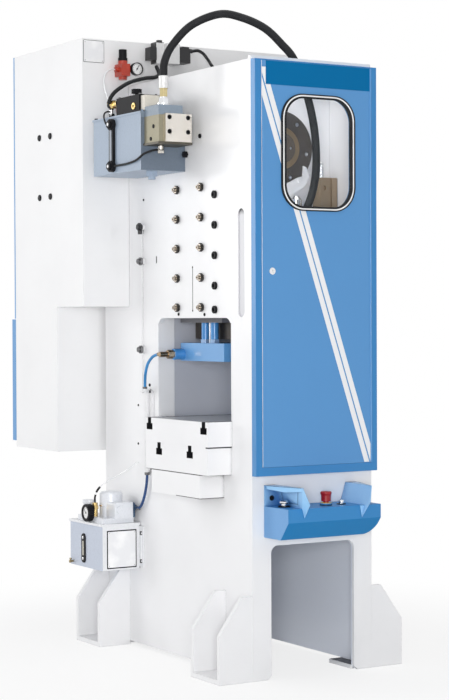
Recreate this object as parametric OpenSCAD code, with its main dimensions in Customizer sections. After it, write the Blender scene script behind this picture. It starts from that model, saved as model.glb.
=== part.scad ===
// Closed-frame eccentric press with a short fixed stroke, a rear flywheel and hydraulic slide protection.
// The origin is on the floor under the middle of the body; +Z is up, -Y is the operator's side.

/* [Body] */
// width over the two side plates
body_w = 562; // [460:1:700]
// depth from the front plate to the rear plate
body_d = 1216; // [1180:1:1500]
// height of the side plates above the floor
body_h = 2400; // [2390:5:2900]
// thickness of the side plates
side_t = 22; // [16:1:30]
// thickness of the front and rear plates
front_t = 20; // [14:1:26]
// depth of the feed window in each side plate
window_d = 585; // [560:1:640]
// height of the feed window above the bolster
window_h = 409; // [345:1:412]

/* [Bed and bolster] */
// how far the bed and bolster stand out of each side plate
bolster_over = 110; // [60:1:160]
// height of the bolster plate
bolster_h = 98; // [80:1:120]
// height of the bed block under the bolster
bed_h = 206; // [180:1:250]
// width of the neck of the T-slots
t_neck = 28; // [18:1:34]
// width of the wide part of the T-slots
t_base = 50; // [34:1:60]

/* [Slide and shaft] */
// full stroke of the slide
stroke = 30; // [20:1:36]
// width of the slide between its gibs
slide_w = 260; // [230:1:300]
// diameter of the front journal
journal_d = 120; // [100:1:130]
// diameter of the rear end of the shaft
tail_d = 90; // [70:1:108]
// diameter of the wrist pin
pin_d = 50; // [40:1:60]
// outer diameter of the flywheel
flywheel_d = 800; // [660:1:880]
// width of the flywheel rim
flywheel_w = 110; // [80:1:132]

/* [Rear guard] */
// how far the guard stands out to the left of the body
guard_left = 221; // [180:1:300]
// how far the guard stands out to the right of the body
guard_right = 273; // [200:1:330]
// depth of the guard behind the body
guard_d = 455; // [440:1:560]

/* [Door] */
// depth of the door and its frame
door_t = 31; // [26:1:45]
// width of the door's window opening
glass_w = 302; // [200:1:340]
// height of the door's window opening
glass_h = 419; // [300:1:430]

/* [Hydraulic unit] */
// height of the oil tank
tank_h = 228; // [190:1:274]
// outer diameter of the main hose
hose_d = 32; // [24:1:34]

/* [Lubrication unit] */
// height of the lubrication tank
lube_h = 186; // [155:1:224]

/* [Control desk] */
// width of the control desk
console_w = 431; // [360:1:460]
// diameter of the mushroom heads
button_d = 44; // [36:1:52]

/* [Feet] */
// how far each foot stands out of its side plate
foot_w = 149; // [124:1:200]
// depth of each foot
foot_d = 220; // [180:1:264]
// diameter of the anchor holes
anchor_d = 26; // [20:1:32]

/* [Hidden] */
$fn = 48;
left_x = -body_w/2;
right_x = body_w/2;
front_y = -body_d/2;
rear_y = body_d/2;
lift = body_h - 2400;               // how far the head is carried above its drawn height
back = body_d - 1216;               // how far the rear is carried behind its drawn place
half_in = body_w/2 - side_t;        // from the middle to a side plate's inner face
bolster_z = 998;                    // top of the bolster
bed_top = bolster_z - bolster_h;
bed_mid = bed_top - bed_h/2 - 8;
bed_z = bed_top - bed_h;
window_y = front_y + 152;
window_z = bolster_z - 3;
ram_y = front_y + 472;              // axis of the slide
ram_d = 280;                        // depth of the slide
shaft_z = 2085 + lift;
off = stroke/2;                     // eccentricity of the shaft
ecc_d = journal_d + 2*off + 12;
strap_d = ecc_d + 64;
pin_z = 1800 + lift;
ram_z = 1403;                       // underside of the slide
guard_z = 1455 + lift;              // underside of the guard's upper part
guard_top = 2590 + lift;
guard_f = front_y + 990 + back;     // front wall of the guard's upper part
guard_r = rear_y + guard_d;
guard_xl = left_x - guard_left;
guard_xr = right_x + guard_right;
cab_z = 824;                        // underside of the rear cabinet
fly_y = rear_y + 84;                // front face of the flywheel
motor_z = 1120;
pulley_d = 180;
stem_d = 22;                        // stems of the push buttons
gib_z = [1446.7, 1566.7, 1687.3, 1808.5, 1929];
cap_z = [1437, 1532, 1652.5, 1773, 1893.5];
gib_y = [375, 569];
white = [0.93, 0.93, 0.94];
blue = [0.22, 0.47, 0.74];
cyan = [0.30, 0.60, 0.85];
greyblue = [0.45, 0.55, 0.66];
steel = [0.62, 0.63, 0.66];
bronze = [0.60, 0.43, 0.20];
zinc = [0.72, 0.66, 0.40];
black = [0.09, 0.09, 0.10];
red = [0.75, 0.12, 0.10];

// routes of the hoses, from the left plate's outer face, the front face and the floor
main_route = [[-133,445,2373],[-130,441,2430],[-105,421,2495],[-46,370,2572],[38,295,2612],[108,238,2596],
  [176,176,2551],[228,134,2487],[269,104,2422],[320,98,2300],[352,98,2190],[366,98,2090],[366,98,1990],
  [352,104,1900],[328,124,1820],[302,154,1756],[284,184,1722],[276,212,1710],[274,236,1708]];
clamp_route = [[-24,695,1254],[-26,707,1252],[-34,730,1241],[-40,757,1213],[-40,777,1172],[-35,791,1134],[-33,795,1108]];
return_route = [[-158,446,2077],[-172,446,2076],[-188,446,2072],[-203,456,2066],[-210,476,2060],[-212,500,2050],
  [-212,526,2042],[-212,560,2036],[-212,620,2031],[-212,690,2030],[-212,720.8,2030]];
lube_route = [[-14,900,596],[-14,889,597],[-14,866,612],[-14,842,646],[-14,824,690],[-15,814,728],[-15,812,748]];
cable_route = [[296,958,2566],[306,957,2568],[326,954,2570],[348,948,2558],[364,936,2532],[374,914,2500],[380,870,2466],[390,800,2444],
  [401,720,2436],[405,682,2424],[405,670,2404]];
valve_route = [[-196,800,2294],[-188,793,2322],[-160,788,2353],[-100,790,2388],[-22,808,2411],[50,842,2425],[94,890,2448],[110,940,2484]];
level_route = [[-187.1,808,2262],[-198,808,2262],[-212,805,2254],[-218,800,2238],[-218,793,2222],[-216,785,2208],[-213,776,2202],[-213,767.1,2202]];

// ---- helpers ----
module box(lo, hi) translate(lo) cube(hi - lo);
module rod_x(p, d, l) translate(p) rotate([0, 90, 0]) cylinder(d = d, h = l);
module rod_y(p, d, l) translate(p) rotate([-90, 0, 0]) cylinder(d = d, h = l);
module rod_z(p, d, l) translate(p) cylinder(d = d, h = l);
module hex_x(p, d, l) translate(p) rotate([0, 90, 0]) cylinder(d = d, h = l, $fn = 6);
module hex_y(p, d, l) translate(p) rotate([-90, 0, 0]) cylinder(d = d, h = l, $fn = 6);
module hex_z(p, d, l) translate(p) cylinder(d = d, h = l, $fn = 6);
module side() translate([left_x, front_y, 0]) children();
module head() translate([left_x, front_y, lift]) children();
module rear() translate([left_x, front_y + back, 0]) children();
module rear_head() translate([left_x, front_y + back, lift]) children();
module both() { children(); mirror([1, 0, 0]) children(); }
module rrect(w, h, r) {
  square([w - 2*r, h], center = true);
  square([w, h - 2*r], center = true);
  for (x = [-1, 1], y = [-1, 1]) translate([x*(w/2 - r), y*(h/2 - r)]) circle(r = r);
}
// a flat outline drawn in X and Z, standing from y to y + t
module in_xz(y, t) translate([0, y + t, 0]) rotate([90, 0, 0]) linear_extrude(t) children();
// a flat outline drawn in Y and Z, standing from x to x + t
module in_yz(x, t) translate([x, 0, 0]) rotate([90, 0, 90]) linear_extrude(t) children();

function unit(v) = v/norm(v);
function mid(p, i) = let(a = p[max(0, i-1)], b = p[i], c = p[i+1], d = p[min(len(p)-1, i+2)])
  (-a + 9*b + 9*c - d)/16;
function smooth(p) = [for (i = [0:2*len(p)-2]) i % 2 == 0 ? p[i/2] : mid(p, (i-1)/2)];
function snap(t) = max([for (c = t) abs(c)]) > 0.94 ? [for (c = t) abs(c) > 0.94 ? sign(c) : 0] : t;
function dir(p, i) = let(t = unit(p[min(len(p)-1, i+1)] - p[max(0, i-1)])) i == 0 || i == len(p)-1 ? snap(t) : t;
function ring(p, i, r, n, ref) = let(t = dir(p, i), u = unit(cross(t, ref)), v = cross(t, u))
  [for (k = [0:n-1]) p[i] + r*cos(360*k/n)*u + r*sin(360*k/n)*v];
// a round hose along a route, as rings of n points
module hose(p, d, n, ref) {
  m = len(p);
  pts = [for (i = [0:m-1]) each ring(p, i, d/2, n, ref)];
  polyhedron(points = pts, faces = concat(
    [[for (k = [0:n-1]) k]], [[for (k = [n-1:-1:0]) (m-1)*n + k]],
    [for (i = [0:m-2], k = [0:n-1]) [i*n + k, (i+1)*n + k, (i+1)*n + (k+1)%n]],
    [for (i = [0:m-2], k = [0:n-1]) [i*n + k, (i+1)*n + (k+1)%n, i*n + (k+1)%n]]));
}

// ---- welded frame ----
module side_cuts() {
  // bed, bolster and feed window
  box([left_x - 1, front_y + 210, bed_z], [0, front_y + 601, bed_mid + 1]);
  box([left_x - 1, front_y + 150, bed_mid], [0, front_y + 648, bed_top + 1]);
  box([left_x - 1, front_y + 146, bed_top], [0, front_y + 652, window_z + 5]);
  in_yz(left_x - 1, 90) translate([window_y + window_d/2, window_z + window_h/2]) {
    translate([0, -10]) square([window_d, window_h - 20], center = true);
    rrect(window_d, window_h, 40);
  }
  side() {
    // blind slot beside the door and narrow slit between the screws
    in_yz(-1, 7) translate([74.5, 1617.5]) rrect(49, 421, 24);
    in_yz(-1, 7) translate([449, 1522]) square([4, 180], center = true);
    for (z = gib_z, y = gib_y) rod_x([-1, y, z], 17, 40);
    for (z = cap_z) { rod_x([-1, 270, z], 17, 40); rod_x([-1, 270, z], 26, 14); }
    rod_x([-1, 382, 2134], 14, 12);
    rod_x([-1, 859, 1905], 10, 10);
    for (p = [[562.6, 1420], [354, 1418], [914, 1034], [916, 870], [844, 881]]) rod_x([-1, p[0], p[1]], 8, 8);
    in_yz(-1, 5) translate([749, 1649]) rrect(7, 30, 3);
  }
}
module side_plate() {
  difference() {
    union() {
      box([left_x, front_y + front_t, 16], [left_x + side_t, rear_y - front_t, body_h]);
      // thick jambs before and behind the feed window, carrying the bed
      box([left_x + side_t - 1, front_y + 100, bed_z - 60], [left_x + 77, front_y + 152, 1440]);
      box([left_x + side_t - 1, window_y + window_d, bed_z - 60], [left_x + 77, window_y + window_d + 45, 1440]);
      box([left_x + side_t - 1, front_y + 100, bed_z - 60], [left_x + 77, window_y + window_d + 45, bed_z]);
    }
    side_cuts();
  }
}
module left_side_plate() color(white) side_plate();
module right_side_plate() color(white) mirror([1, 0, 0]) side_plate();

module front_plate() color(white) difference() {
  in_xz(front_y, front_t) difference() {
    translate([left_x, 0]) square([body_w, body_h + 12]);
    // opening between the legs
    translate([0, 245]) square([body_w - 172, 494], center = true);
    translate([0, 260]) rrect(body_w - 172, 520, 30);
    for (s = [-1, 1]) translate([s*(body_w/2 - 86), 0]) rotate(45) square(24, center = true);
    // opening behind the door
    translate([left_x + 40, 840]) square([body_w - 80, body_h - 25 - 840]);
  }
}
module rear_plate() color(white) difference() {
  box([left_x, rear_y - front_t, 16], [right_x, rear_y, body_h]);
  rod_y([0, rear_y - front_t - 1, shaft_z], tail_d + 46, front_t + 2);
}
module front_bearing_wall() color(white) difference() {
  box([-half_in, front_y + 255, 1442], [half_in, front_y + 285, body_h - 8]);
  rod_y([0, front_y + 250, shaft_z], journal_d + 70, 40);
  side() for (z = cap_z) rod_x([side_t - 1, 270, z], 17, 40);
  mirror([1, 0, 0]) side() for (z = cap_z) rod_x([side_t - 1, 270, z], 17, 40);
  for (a = [-9:60:291]) rod_y([(journal_d/2 + 65)*cos(a), front_y + 250, shaft_z + (journal_d/2 + 65)*sin(a)], 12, 30);
}
module rear_bearing_wall() color(white) difference() {
  box([-half_in, front_y + 650, 1442], [half_in, front_y + 690, body_h - 8]);
  rod_y([0, front_y + 640, shaft_z], journal_d + 30, 60);
}
module die_space_wall() color(steel) {
  box([-body_w/2 + 77, window_y + window_d + 2, bed_z - 60], [body_w/2 - 77, window_y + window_d + 14, 1430]);
  box([-body_w/2 + 77, front_y + 650, 1430], [body_w/2 - 77, window_y + window_d + 14, 1442]);
}
module feet() color(white) both() {
  for (s = [0, 1]) translate([0, s ? 0 : 0, 0]) {
    y0 = s ? rear_y - foot_d : front_y;
    difference() {
      union() {
        box([left_x - foot_w, y0, 0], [left_x, y0 + foot_d, 20]);
        for (y = [y0, y0 + foot_d - 20]) in_xz(y, 20) polygon([[left_x, 10], [left_x, 330], [left_x - 46, 330],
          [left_x - foot_w, 188], [left_x - foot_w, 10]]);
      }
      rod_z([left_x - 75, y0 + foot_d/2, -1], anchor_d, 30);
    }
  }
}

// ---- bed and bolster ----
module t_slot(y, z, depth) {
  box([left_x - bolster_over - 1, y - t_neck/2, z - depth], [right_x + bolster_over + 1, y + t_neck/2, z + 1]);
  box([left_x - bolster_over - 1, y - t_base/2, z - depth], [right_x + bolster_over + 1, y + t_base/2, z - depth + 26]);
}
module bed_block() color(steel) difference() {
  union() {
    box([left_x - bolster_over, front_y + 150, bed_mid], [right_x + bolster_over, front_y + 648, bed_top]);
    box([left_x - bolster_over, front_y + 210, bed_z], [right_x + bolster_over, front_y + 601, bed_mid + 1]);
  }
  for (y = [289, 538]) t_slot(front_y + y, bed_top, 50);
  // scrap hole down through the bed
  rod_z([0, ram_y, bed_z - 1], 74, bed_h + 2);
}
module bolster() color(steel) difference() {
  box([left_x - bolster_over, front_y + 146, bed_top], [right_x + bolster_over, front_y + 652, bolster_z]);
  for (y = [181, 617]) t_slot(front_y + y, bolster_z, 49);
  rod_z([0, ram_y, bed_top - 1], 70, bolster_h + 2);
}

// ---- slide guides ----
module slide_gibs() color(steel) both() for (f = [0, 1]) {
  y0 = f ? ram_y + ram_d/2 + 0.3 : ram_y - ram_d/2 - 30.3;
  box([slide_w/2 + 0.3, ram_y + (f ? 60 : -ram_d/2 - 1), 1445], [half_in, ram_y + (f ? ram_d/2 + 1 : -60), 1950]);
  box([slide_w/2 - 30, y0, 1445], [half_in, y0 + 30, 1950]);
}
module gib_screws() color(bronze) both() side() {
  for (z = gib_z, y = gib_y) difference() {
    union() {
      rod_x([-24, y, z], 16, 24 + side_t);
      hex_x([-13, y, z], 35, 13);
      rod_x([-13.5, y, z], 29, 2);
    }
    hex_x([-25, y, z], 9, 9);
  }
  for (z = cap_z) difference() {
    union() { rod_x([0, 270, z], 24, 13); rod_x([5, 270, z], 16, 50); }
    hex_x([-1, 270, z], 15, 9);
  }
}

// ---- shaft, rod and slide ----
module bearing_flange() color(steel) difference() {
  rod_y([0, front_y + 222, shaft_z], journal_d + 180, 33);
  rod_y([0, front_y + 215, shaft_z], journal_d + 50, 50);
  for (a = [-9:60:291]) rod_y([(journal_d/2 + 65)*cos(a), front_y + 221, shaft_z + (journal_d/2 + 65)*sin(a)], 19, 9);
}
module bush(d, wall, y, l) difference() {
  rod_y([0, y, shaft_z], d + 2*wall, l);
  rod_y([0, y - 1, shaft_z], d + 0.1, l + 2);
}
module bearing_bushes() color(bronze) {
  bush(journal_d, 25, front_y + 216, 72);
  bush(journal_d, 15, front_y + 645, 48);
  bush(tail_d, 23, rear_y - front_t - 6, front_t + 8);
  // guide block in the corner of the front compartment
  difference() {
    box([half_in - 84, front_y + 198, 1640 + lift], [half_in - 3, front_y + 255, 1972 + lift]);
    box([half_in - 40, front_y + 190, 1630 + lift], [half_in - 28, front_y + 206, 1980 + lift]);
    for (z = [1700, 1930]) rod_y([half_in - 66, front_y + 190, z + lift], 20, 18);
  }
}
module eccentric_shaft() color(steel) difference() {
  union() {
    rod_y([0, front_y + 208, shaft_z], journal_d, 492);
    rod_y([0, front_y + 699, shaft_z], tail_d, body_d - 699 + 250);
    rod_y([0, ram_y - 60, shaft_z + off], ecc_d, 120);
  }
  rod_y([0, front_y + 207, shaft_z], 20, 25);
  for (a = [0:120:240]) rod_y([38*cos(a), front_y + 207, shaft_z + 38*sin(a)], 12, 22);
}
module connecting_rod() color(steel) difference() {
  union() {
    rod_y([0, ram_y - 45, shaft_z + off], strap_d, 90);
    box([-45, ram_y - 40, pin_z + 50], [45, ram_y + 40, shaft_z + off - ecc_d/2 - 12]);
    in_xz(ram_y - 40, 80) translate([0, pin_z]) rrect(pin_d + 2*off + 38, pin_d + 2*stroke + 40, 30);
  }
  rod_y([0, ram_y - 50, shaft_z + off], ecc_d + 0.1, 100);
  // long eye that leaves the pin free to follow the slide
  in_xz(ram_y - 50, 100) translate([0, pin_z]) rrect(pin_d + 2*off + 2, pin_d + 2*stroke + 2, 25);
}
module wrist_pin() color(steel) rod_y([0, ram_y - ram_d/2 + 20, pin_z], pin_d, ram_d - 40);
module slide() color(steel) difference() {
  box([-slide_w/2, ram_y - ram_d/2, ram_z], [slide_w/2, ram_y + ram_d/2, shaft_z + off - strap_d/2 - 2*stroke + 8]);
  // pocket for the rod
  box([-slide_w/2 + 40, ram_y - 47, pin_z - 125], [slide_w/2 - 40, ram_y + 47, 2100 + lift]);
  rod_y([0, ram_y - ram_d/2 + 20, pin_z], pin_d, ram_d);
  rod_z([0, ram_y, 1380], 40.1, 85);
  for (x = [-60, 60]) rod_z([x, ram_y, 1380], 24.1, 50);
}
module die_clamp() color(cyan) difference() {
  box([-200, ram_y - 132, 1227], [200, ram_y + 218, 1301]);
  rod_z([0, ram_y, 1226], 40, 51);
  rod_x([-201, front_y + 671, 1254], 24, 32);
}
module clamp_posts() color(cyan) {
  // plate under the slide with its tool block, held by a spigot and two bolts
  box([-200, ram_y - 118, ram_z - 18], [200, ram_y + 218, ram_z]);
  box([-slide_w/2, ram_y - 118, 1317], [slide_w/2, ram_y + 214, ram_z - 17]);
  rod_z([0, ram_y, 1301], 40, 160);
  for (x = [-60, 60]) rod_z([x, ram_y, 1301], 24, 120);
  // two posts at each side with their nuts and a thin rod between them
  both() {
    for (y = [17, 90]) {
      rod_z([slide_w/2 + 25, ram_y + y, 1301], 33, ram_z - 1318);
      hex_z([slide_w/2 + 25, ram_y + y, 1301], 44, 15);
    }
    rod_z([slide_w/2 + 25, ram_y + 53, 1301], 8, ram_z - 1318);
  }
  // inlet fitting on the left end
  rod_x([-216, front_y + 671, 1254], 23.6, 46);
  rod_x([-246, front_y + 671, 1254], 46, 46);
  hex_x([-276, front_y + 671, 1254], 36, 30.5);
  rod_x([left_x - 32, front_y + 671, 1254], 22, -250 - left_x + 6);
  rod_y([left_x - 24, front_y + 671, 1254], 16, 24);
}
module clamp_hose() color(cyan) side() hose(smooth(clamp_route), 12, 10, [1, 0.2, 0]);

// ---- flywheel drive ----
module flywheel() color(steel) translate([0, fly_y, shaft_z]) rotate([-90, 0, 0]) rotate_extrude()
  polygon([[tail_d/2 + 0.05, 0], [95, 0], [95, flywheel_w/2 - 18], [flywheel_d/2 - 60, flywheel_w/2 - 18],
    [flywheel_d/2 - 60, 0], [flywheel_d/2, 0], [flywheel_d/2, flywheel_w], [flywheel_d/2 - 60, flywheel_w],
    [flywheel_d/2 - 60, flywheel_w/2 + 18], [95, flywheel_w/2 + 18], [95, flywheel_w + 10],
    [tail_d/2 + 0.05, flywheel_w + 10]]);
module clutch_brake() color(steel) {
  difference() {
    union() {
      rod_y([0, rear_y + 14, shaft_z], 300, 60);
      rod_y([0, rear_y + 3, shaft_z], 150, 80);
    }
    rod_y([0, rear_y, shaft_z], tail_d, 100);
    for (a = [0:45:315]) rod_y([120*cos(a), rear_y + 10, shaft_z + 120*sin(a)], 20, 70);
  }
  rod_y([0, rear_y + 250, shaft_z], 60, 40);
}
module belt_shape(g) {
  r1 = flywheel_d/2 + g;
  r2 = pulley_d/2 + g;
  l = shaft_z - motor_z;
  t = -asin((r1 - r2)/l);
  circle(r = r1, $fn = 96);
  translate([0, -l]) circle(r = r2);
  polygon([[r1*cos(t), r1*sin(t)], [r2*cos(t), r2*sin(t) - l], [-r2*cos(t), r2*sin(t) - l], [-r1*cos(t), r1*sin(t)]]);
}
module drive_belt() color(black) translate([0, 0, shaft_z]) in_xz(fly_y + 12, flywheel_w - 24) difference() {
  belt_shape(9);
  belt_shape(0.3);
}
module motor() color(greyblue) {
  y0 = fly_y + flywheel_w + 14;
  y1 = guard_r - 20;
  rod_y([0, y0, motor_z], 210, y1 - y0);
  rod_y([0, fly_y + flywheel_w + 4, motor_z], 60, 20);
  rod_y([0, fly_y + 4, motor_z], 38, flywheel_w + 20);
  box([-70, y0 + 30, motor_z - 130], [70, y1 - 30, motor_z - 60]);
  box([-130, y0 + 10, motor_z - 150], [130, y1 - 10, motor_z - 130]);
  for (x = [-120, 100]) box([x, y0 + 10, cab_z + 3], [x + 20, y1 - 10, motor_z - 149]);
  box([90, y0 + 40, motor_z - 40], [150, y1 - 50, motor_z + 60]);
}
module motor_pulley() color(steel) difference() {
  rod_y([0, fly_y, motor_z], pulley_d, flywheel_w);
  rod_y([0, fly_y - 1, motor_z], 38.1, flywheel_w + 2);
  rod_y([0, fly_y - 1, motor_z], pulley_d - 50, 30);
}

// ---- rear guard ----
module guard_shape(t) polygon([[guard_f + t, guard_z + t], [rear_y + 29 + t, guard_z + t], [rear_y + 29 + t, cab_z + t],
  [guard_r + (t > 0 ? 1 : 0), cab_z + t], [guard_r + (t > 0 ? 1 : 0), guard_top - t], [guard_f + t, guard_top - t]]);
module rear_guard() color(white) {
  difference() {
    in_yz(guard_xl, guard_xr - guard_xl) guard_shape(0);
    in_yz(guard_xl + 3, guard_xr - guard_xl - 6) guard_shape(3);
    // the head of the body fills this notch
    box([left_x - 0.3, guard_f - 5, guard_z - 5], [right_x + 0.3, rear_y + 0.3, body_h + 0.3]);
    for (y = [-260, -368], z = [2202.5, 1938.5]) rod_x([guard_xl - 1, guard_r + y, z + lift], 16, 5);
  }
  // bare inner flange round the rear opening, spacers to the body
  for (x = [guard_xl + 2, guard_xr - 22]) box([x, guard_r - 20, cab_z + 2], [x + 20, guard_r - 17, guard_top - 2]);
  for (x = [-200, 200], z = [900, 1380]) rod_y([x, rear_y, z], 40, 30);
  for (y = [-260, -368], z = [2202.5, 1938.5]) rod_x([guard_xl - 4, guard_r + y, z + lift], 22, 4);
}
module rear_cover() color(blue) difference() {
  box([guard_xl, guard_r, 1405 + lift], [guard_xr, guard_r + 12, guard_top]);
  for (z = [1700:40:1860]) in_xz(guard_r - 1, 20) translate([0, z + lift]) rrect(360, 10, 4.9);
}
module cabinet_door() color(blue) difference() {
  union() {
    box([guard_xl, guard_r + 0.3, 851], [guard_xr - 4, guard_r + 40, 1402 + lift]);
    rod_z([guard_xr - 4, guard_r + 4, 851], 7.4, 551 + lift);
  }
  box([guard_xl + 3, guard_r - 1, 854], [guard_xr - 8, guard_r + 37, 1399 + lift]);
  for (z = [960:40:1120]) in_xz(guard_r - 1, 60) translate([150, z]) rrect(360, 10, 4.9);
}

// ---- front door ----
door_r = right_x - 22;              // hinge line of the door
door_l = left_x + 28.6;
module door_frame() color(blue) difference() {
  in_xz(front_y - door_t, door_t) difference() {
    translate([left_x, 794]) square([body_w + 7, body_h - 4 - 794]);
    translate([left_x + 28, 827]) square([body_w - 49, body_h - 8 - 827]);
  }
  rod_z([door_r + 0.4, front_y - door_t, 826.5], 7.8, body_h - 7.5 - 826.5);
}
glass_x = 9.5;
glass_z = 2045 + lift;
glass_r = 83;                       // corner radius of the window opening
module door_leaf() color(blue) difference() {
  union() {
    box([door_l, front_y - door_t, 827.6], [door_r + 0.4, front_y - 0.3, body_h - 8.6]);
    rod_z([door_r + 0.4, front_y - door_t, 827.6], 7, body_h - 8.6 - 827.6);
  }
  difference() {
    box([door_l + 3, front_y - door_t + 3, 830.6], [door_r - 2.6, front_y + 1, body_h - 11.6]);
    in_xz(front_y - door_t, 25) translate([glass_x, glass_z]) rrect(glass_w + 50, glass_h + 40, glass_r + 15);
  }
  in_xz(front_y - door_t - 1, 40) translate([glass_x, glass_z]) rrect(glass_w + 22, glass_h + 13, glass_r + 9);
  rod_y([left_x + 74, front_y - door_t - 1, 1583], 22.4, 10);
}
module window_gasket() color(black) {
  in_xz(front_y - door_t - 6, 6) translate([glass_x, glass_z]) difference() {
    rrect(glass_w + 44, glass_h + 33, glass_r + 15);
    rrect(glass_w, glass_h, glass_r);
  }
  in_xz(front_y - door_t - 1, 12) translate([glass_x, glass_z]) difference() {
    rrect(glass_w + 21.4, glass_h + 12.4, glass_r + 8.6);
    rrect(glass_w + 6, glass_h + 6, glass_r + 3);
  }
}
module window_glass() color([0.8, 0.88, 0.9, 0.35]) in_xz(front_y - door_t, 5) translate([glass_x, glass_z])
  rrect(glass_w + 5.4, glass_h + 5.4, glass_r + 2.7);
module door_lock() color(steel) translate([left_x + 74, 0, 1583]) difference() {
  union() {
    rod_y([0, front_y - door_t - 5, 0], 27, 5);
    rod_y([0, front_y - door_t - 1, 0], 22.3, 20);
    rod_y([0, front_y - door_t + 18, 0], 12, 8);
    box([-9, front_y - door_t + 19, -32], [9, front_y - door_t + 23, 8]);
  }
  in_xz(front_y - door_t - 6, 4) polygon([[-6, -4], [6, -4], [0, 7]]);
}

// ---- hydraulic unit on the left plate ----
tank_z = 2228 + lift - tank_h;
module oil_tank() color(greyblue) {
  difference() {
    side() box([-204, 506, tank_z], [0, 920, 2228 + lift]);
    side() box([-200, 510, tank_z + 4], [-4, 916, 2229 + lift]);
  }
  difference() {
    head() box([-208, 502, 2228], [0, 924, 2236]);
    head() rod_z([-60, 860, 2220], 40, 20);
  }
  head() rod_z([-60, 860, 2229], 54, 34);
  head() for (p = [[-196, 515], [-196, 780], [-196, 912], [-20, 515], [-20, 912]]) hex_z([p[0], p[1], 2235], 16, 8);
  side() rod_z([-125, 560, tank_z - 33], 30, 37);
  side() hex_z([-125, 560, tank_z - 20], 50, 20.5);
}
module level_gauge() color(black) head() {
  in_yz(-216, 12) translate([744, 2116]) rrect(34, 180, 16.9);
  for (z = [2030, 2202]) { rod_x([-222, 744, z], 46, 18); hex_x([-230, 744, z], 34, 9); }
}
module pump_manifold() color(zinc) head() difference() {
  union() {
    box([-188, 386, 2105], [-46, 506, 2212]);
    box([-194, 380, 2096], [-38, 506, 2105]);
  }
  for (p = [[430, 2168], [452, 2120]]) rod_x([-189, p[0], p[1]], 16, 12);
}
module manifold_plate() color(white) head() difference() {
  box([-165, 372, 2105], [-46, 386, 2217]);
  for (x = [-147, -62], z = [2202, 2145]) rod_y([x, 371, z], 20, 9);
}
module relief_block() color(greyblue) head() box([-188, 388, 2212], [-78, 501.7, 2252]);
module control_valve() color(black) head() {
  difference() {
    box([-190, 545, 2236], [-96, 742, 2309]);
    rod_x([-191, 590, 2264], 20, 20);
  }
  box([-182, 513, 2242], [-104, 545, 2303]);
  // brass banjo fitting, its nut and the elbow below
  rod_y([-178, 742, 2290], 30, 30);
  hex_y([-178, 770, 2290], 38, 22);
  rod_y([-178, 790, 2290], 26, 34);
  rod_z([-178, 808, 2250], 18, 34);
  hex_z([-178, 808, 2236], 30, 18);
  hose([for (p = smooth(valve_route)) p], 15, 10, [0.6, -0.8, 0.3]);
}
module valve_knob() color(black) head() {
  rod_z([-150, 640, 2309.3], 14, 16);
  difference() {
    rod_z([-150, 640, 2322], 42, 18);
    for (a = [0:60:300]) rod_z([-150 + 24*cos(a), 640 + 24*sin(a), 2321], 12, 20);
  }
}
module hose_fitting() color(steel) head() {
  rod_z([-133, 445, 2252], 54, 12);
  hex_z([-133, 445, 2264], 44, 22);
  rod_z([-133, 445, 2285], 28, 6);
  hex_z([-133, 445, 2290], 34, 34);
  rod_z([-133, 445, 2323], 38, 50);
  // bulkhead end on the front bearing wall
  rod_y([274, 236, 1708], 36, 19);
  hex_y([274, 244, 1708], 46, 11);
  // balance cylinder and grease valve in the front compartment
  translate([-left_x, 228, 0]) {
    rod_z([75, 0, 1740], 46, 140);
    translate([75, 0, 1880]) cylinder(d1 = 46, d2 = 24, h = 14);
    box([63, 12, 1770], [87, 27, 1860]);
    rod_z([197, 0, 1972], 26, 44);
    rod_z([197, 0, 2016], 18, 18);
  }
}
module main_hose() color(black) head() hose(smooth(main_route), hose_d, 12, [0.563, 0.827, 0.05]);
module return_tube() color(black) head() {
  hose(return_route, 9, 8, [0, 0, 1]);
  hose(level_route, 7, 8, [0, -0.4, 0.9]);
  rod_z([-146, 446, 2066], 20, 30);
  hex_z([-146, 446, 2064], 26, 12);
  rod_x([-160, 446, 2077], 14, 20);
}

// ---- pneumatic unit on the front of the guard ----
module air_regulator() color(red) rear_head() {
  box([-66, 925, 2434], [-26, 990, 2486]);
  rod_z([-46, 955, 2420], 36, 16);
  rod_z([-46, 955, 2484], 40, 16);
  rod_x([-84, 955, 2462], 20, 20);
  rod_x([-28, 955, 2462], 20, 16);
}
module regulator_knob() color(black) rear_head() {
  rod_z([-46, 955, 2500.3], 40, 12);
  rod_z([-46, 955, 2510], 34, 38);
}
module air_gauge() color(black) rear_head() difference() {
  union() { rod_y([4, 916, 2466], 54, 20); rod_y([4, 935, 2466], 14, 12); box([-12, 940, 2458], [10, 956, 2474]); }
  rod_y([4, 915, 2466], 48, 5);
}
module gauge_needle() color(black) rear_head() {
  rod_y([4, 916.5, 2466], 6, 3.2);
  translate([4, 917.5, 2466]) rotate([0, 30, 0]) box([-1, 0, -7], [1, 1.2, 19]);
}
module air_valves() color(black) rear_head() {
  box([74, 930, 2512], [106, 975, 2566]);
  box([150, 920, 2500], [214, 990, 2586]);
  box([110, 945, 2500], [150, 990, 2592]);
  box([106, 950, 2520], [112, 970, 2556]);
  box([218, 925, 2508], [270, 985, 2570]);
  box([213, 945, 2520], [219, 970, 2556]);
  rod_z([136, 962, 2590], 26, 12);
  rod_x([268, 958, 2566], 18, 28);
  box([240, 940, 2560], [272, 976, 2580]);
  hose(cable_route, 12, 8, [0.5, 0.1, 0.9]);
  translate([0, -back, 0]) rod_z([405, 670, 2392], 20, 12);
}

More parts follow.
